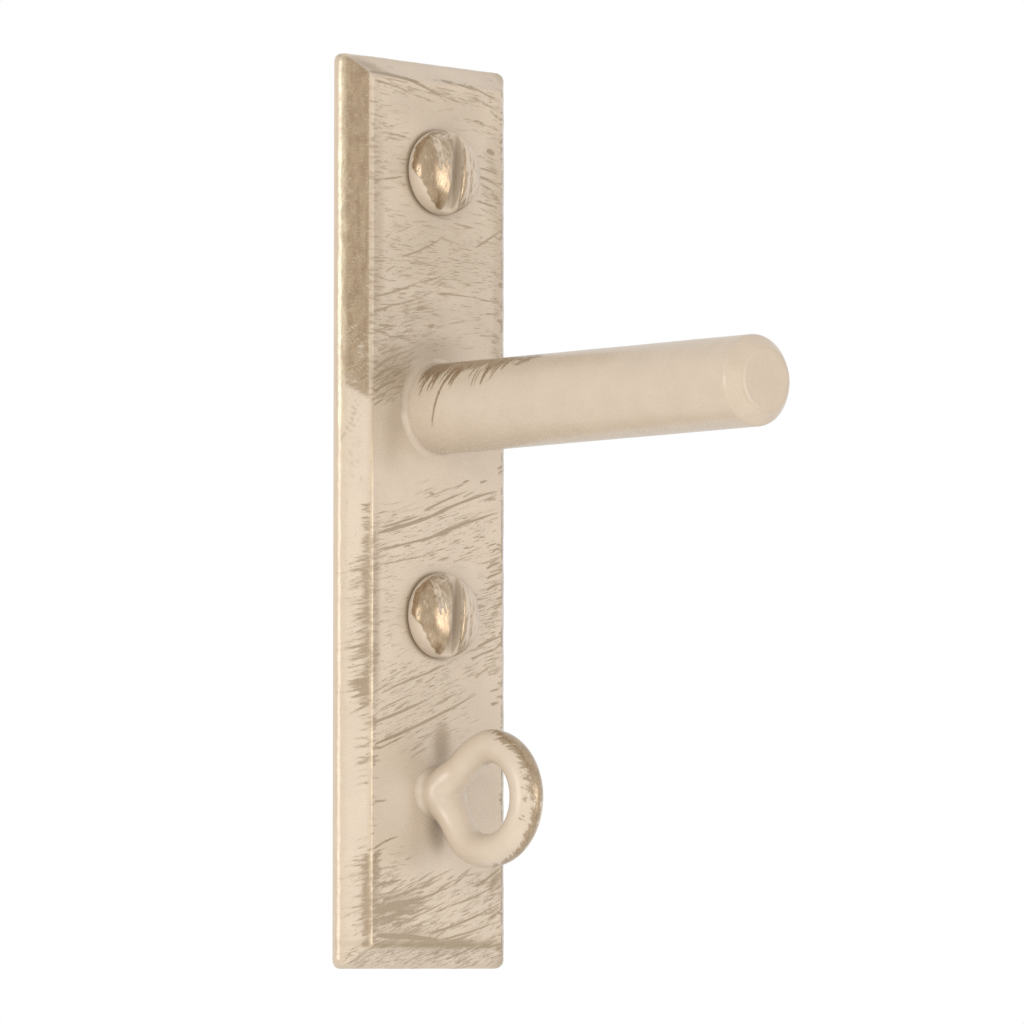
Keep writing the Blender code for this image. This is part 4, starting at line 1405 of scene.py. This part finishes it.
def make_fasteners(material):
    """The zinc-plated screw, nut and washer behind the plate."""
    jobs = (
        (machine_screw_field, (-4.3, -0.4, -4.3), (4.3, 12.6, 4.3), 0.13, POST_AXIS, "bracket",
         "post_fixing_screw"),
        (nut_field, (-4.5, -0.3, -4.5), (4.5, 2.0, 4.5), 0.11, EYE_AXIS, "eye_assembly", "eye_nut"),
        (washer_field, (-4.2, 1.5, -4.2), (4.2, 2.6, 4.2), 0.10, EYE_AXIS, "eye_assembly", "eye_washer"),
    )
    for field, low, high, cell, axis, body, node in jobs:
        points, quads = iso_surface(field, low, high, cell)
        mesh = make_mesh("zinc_" + node, from_axis(points, axis), quads)
        coat(mesh, material)
        place_piece("zinc_" + node, mesh, body, node)


# ---- stage

FLOOR_HEIGHT = -0.45
FLOOR_RADIUS = 2.2
VIEW_AZIMUTH = -43.71
VIEW_ELEVATION = -4.035
VIEW_TARGET = (0.014649, 0.0, 0.000937)
VIEW_DISTANCE = 0.7081
LENS = 222.6
SENSOR = 36.0
CLIPS = (0.01, 50.0)
BOX_DISTANCE = 0.8

# Name, azimuth, elevation, width, height, radiance (1 is as bright as the white surroundings) and whether
# the soft box shows in reflections
SOFT_BOXES = (
    ("right_box", 22.0, -1.0, 0.45, 0.35, 2.8, True),
    ("left_box", -97.0, 2.0, 0.45, 0.35, 3.4, True),
    ("camera_fill", -44.0, -16.0, 0.60, 1.40, 2.4, False),
)


def direction(azimuth, elevation):
    """Unit vector towards a place round the object; azimuth 0 is straight in front of the plate."""
    turn, rise = math.radians(azimuth), math.radians(elevation)
    return Vector((math.sin(turn) * math.cos(rise), -math.cos(turn) * math.cos(rise), math.sin(rise)))


def make_floor():
    """A pale round floor below the object."""
    builder = bmesh.new()
    bmesh.ops.create_circle(builder, cap_ends=True, segments=128, radius=FLOOR_RADIUS)
    bmesh.ops.translate(builder, verts=builder.verts, vec=(0.0, 0.0, FLOOR_HEIGHT))
    mesh = bpy.data.meshes.new("floor")
    builder.to_mesh(mesh)
    builder.free()
    net = Net("pale_floor")
    soft = net.noise(net.place(0.02))
    net.surface("Base Color", net.mix(soft, FLOOR_GREY, FLOOR_PALE))
    net.surface("Roughness", 0.9)
    mesh.materials.append(net.material)
    floor = show("floor", mesh)


def make_world():
    """Even white light from all round."""
    world = bpy.data.worlds.new("white_tent")
    world.use_nodes = True
    background = world.node_tree.nodes["Background"]
    background.inputs["Color"].default_value = (1.0, 1.0, 1.0, 1.0)
    background.inputs["Strength"].default_value = 1.0
    bpy.context.scene.world = world


def soft_box(name, azimuth, elevation, width, height, radiance, glossy):
    """A rectangular soft box that faces the object."""
    light = bpy.data.lights.new(name, "AREA")
    light.shape = "RECTANGLE"
    light.size = width
    light.size_y = height
    light.energy = radiance * math.pi * width * height
    lamp = show(name, light)
    away = direction(azimuth, elevation)
    lamp.location = away * BOX_DISTANCE
    lamp.rotation_euler = away.to_track_quat("Z", "Y").to_euler()
    lamp.visible_glossy = glossy


def make_camera():
    """The camera at the photograph's viewing angle."""
    camera = bpy.data.cameras.new("camera")
    camera.lens = LENS
    camera.sensor_width = SENSOR
    camera.clip_start, camera.clip_end = CLIPS
    eye_point = show("camera", camera)
    back = direction(VIEW_AZIMUTH, VIEW_ELEVATION)
    eye_point.location = Vector(VIEW_TARGET) + back * VIEW_DISTANCE
    eye_point.rotation_euler = back.to_track_quat("Z", "Y").to_euler()
    bpy.context.scene.camera = eye_point


def main():
    """Makes every piece, the floor, the lights and the camera."""
    bpy.context.scene.view_settings.view_transform = "Standard"
    paint = painted_gold("cream_paint_over_gold_strokes", flat_bristles)
    post_paint = painted_gold("cream_paint_over_gold_post", even_bristles)
    eye_paint = painted_gold("cream_paint_over_gold_eye", even_bristles, gold_roughness=0.30,
                             paint_roughness=0.24)
    screw_gold = painted_gold("rubbed_gold_screws", upright_bristles, gold_roughness=0.27,
                              paint_roughness=0.30)
    make_plate(paint)
    make_post(post_paint)
    make_eye(eye_paint)
    make_wall_screws(screw_gold)
    make_fasteners(zinc_plate("zinc_plate_bright"))
    make_floor()
    make_world()
    make_camera()
    for box in SOFT_BOXES:
        soft_box(*box)


main()
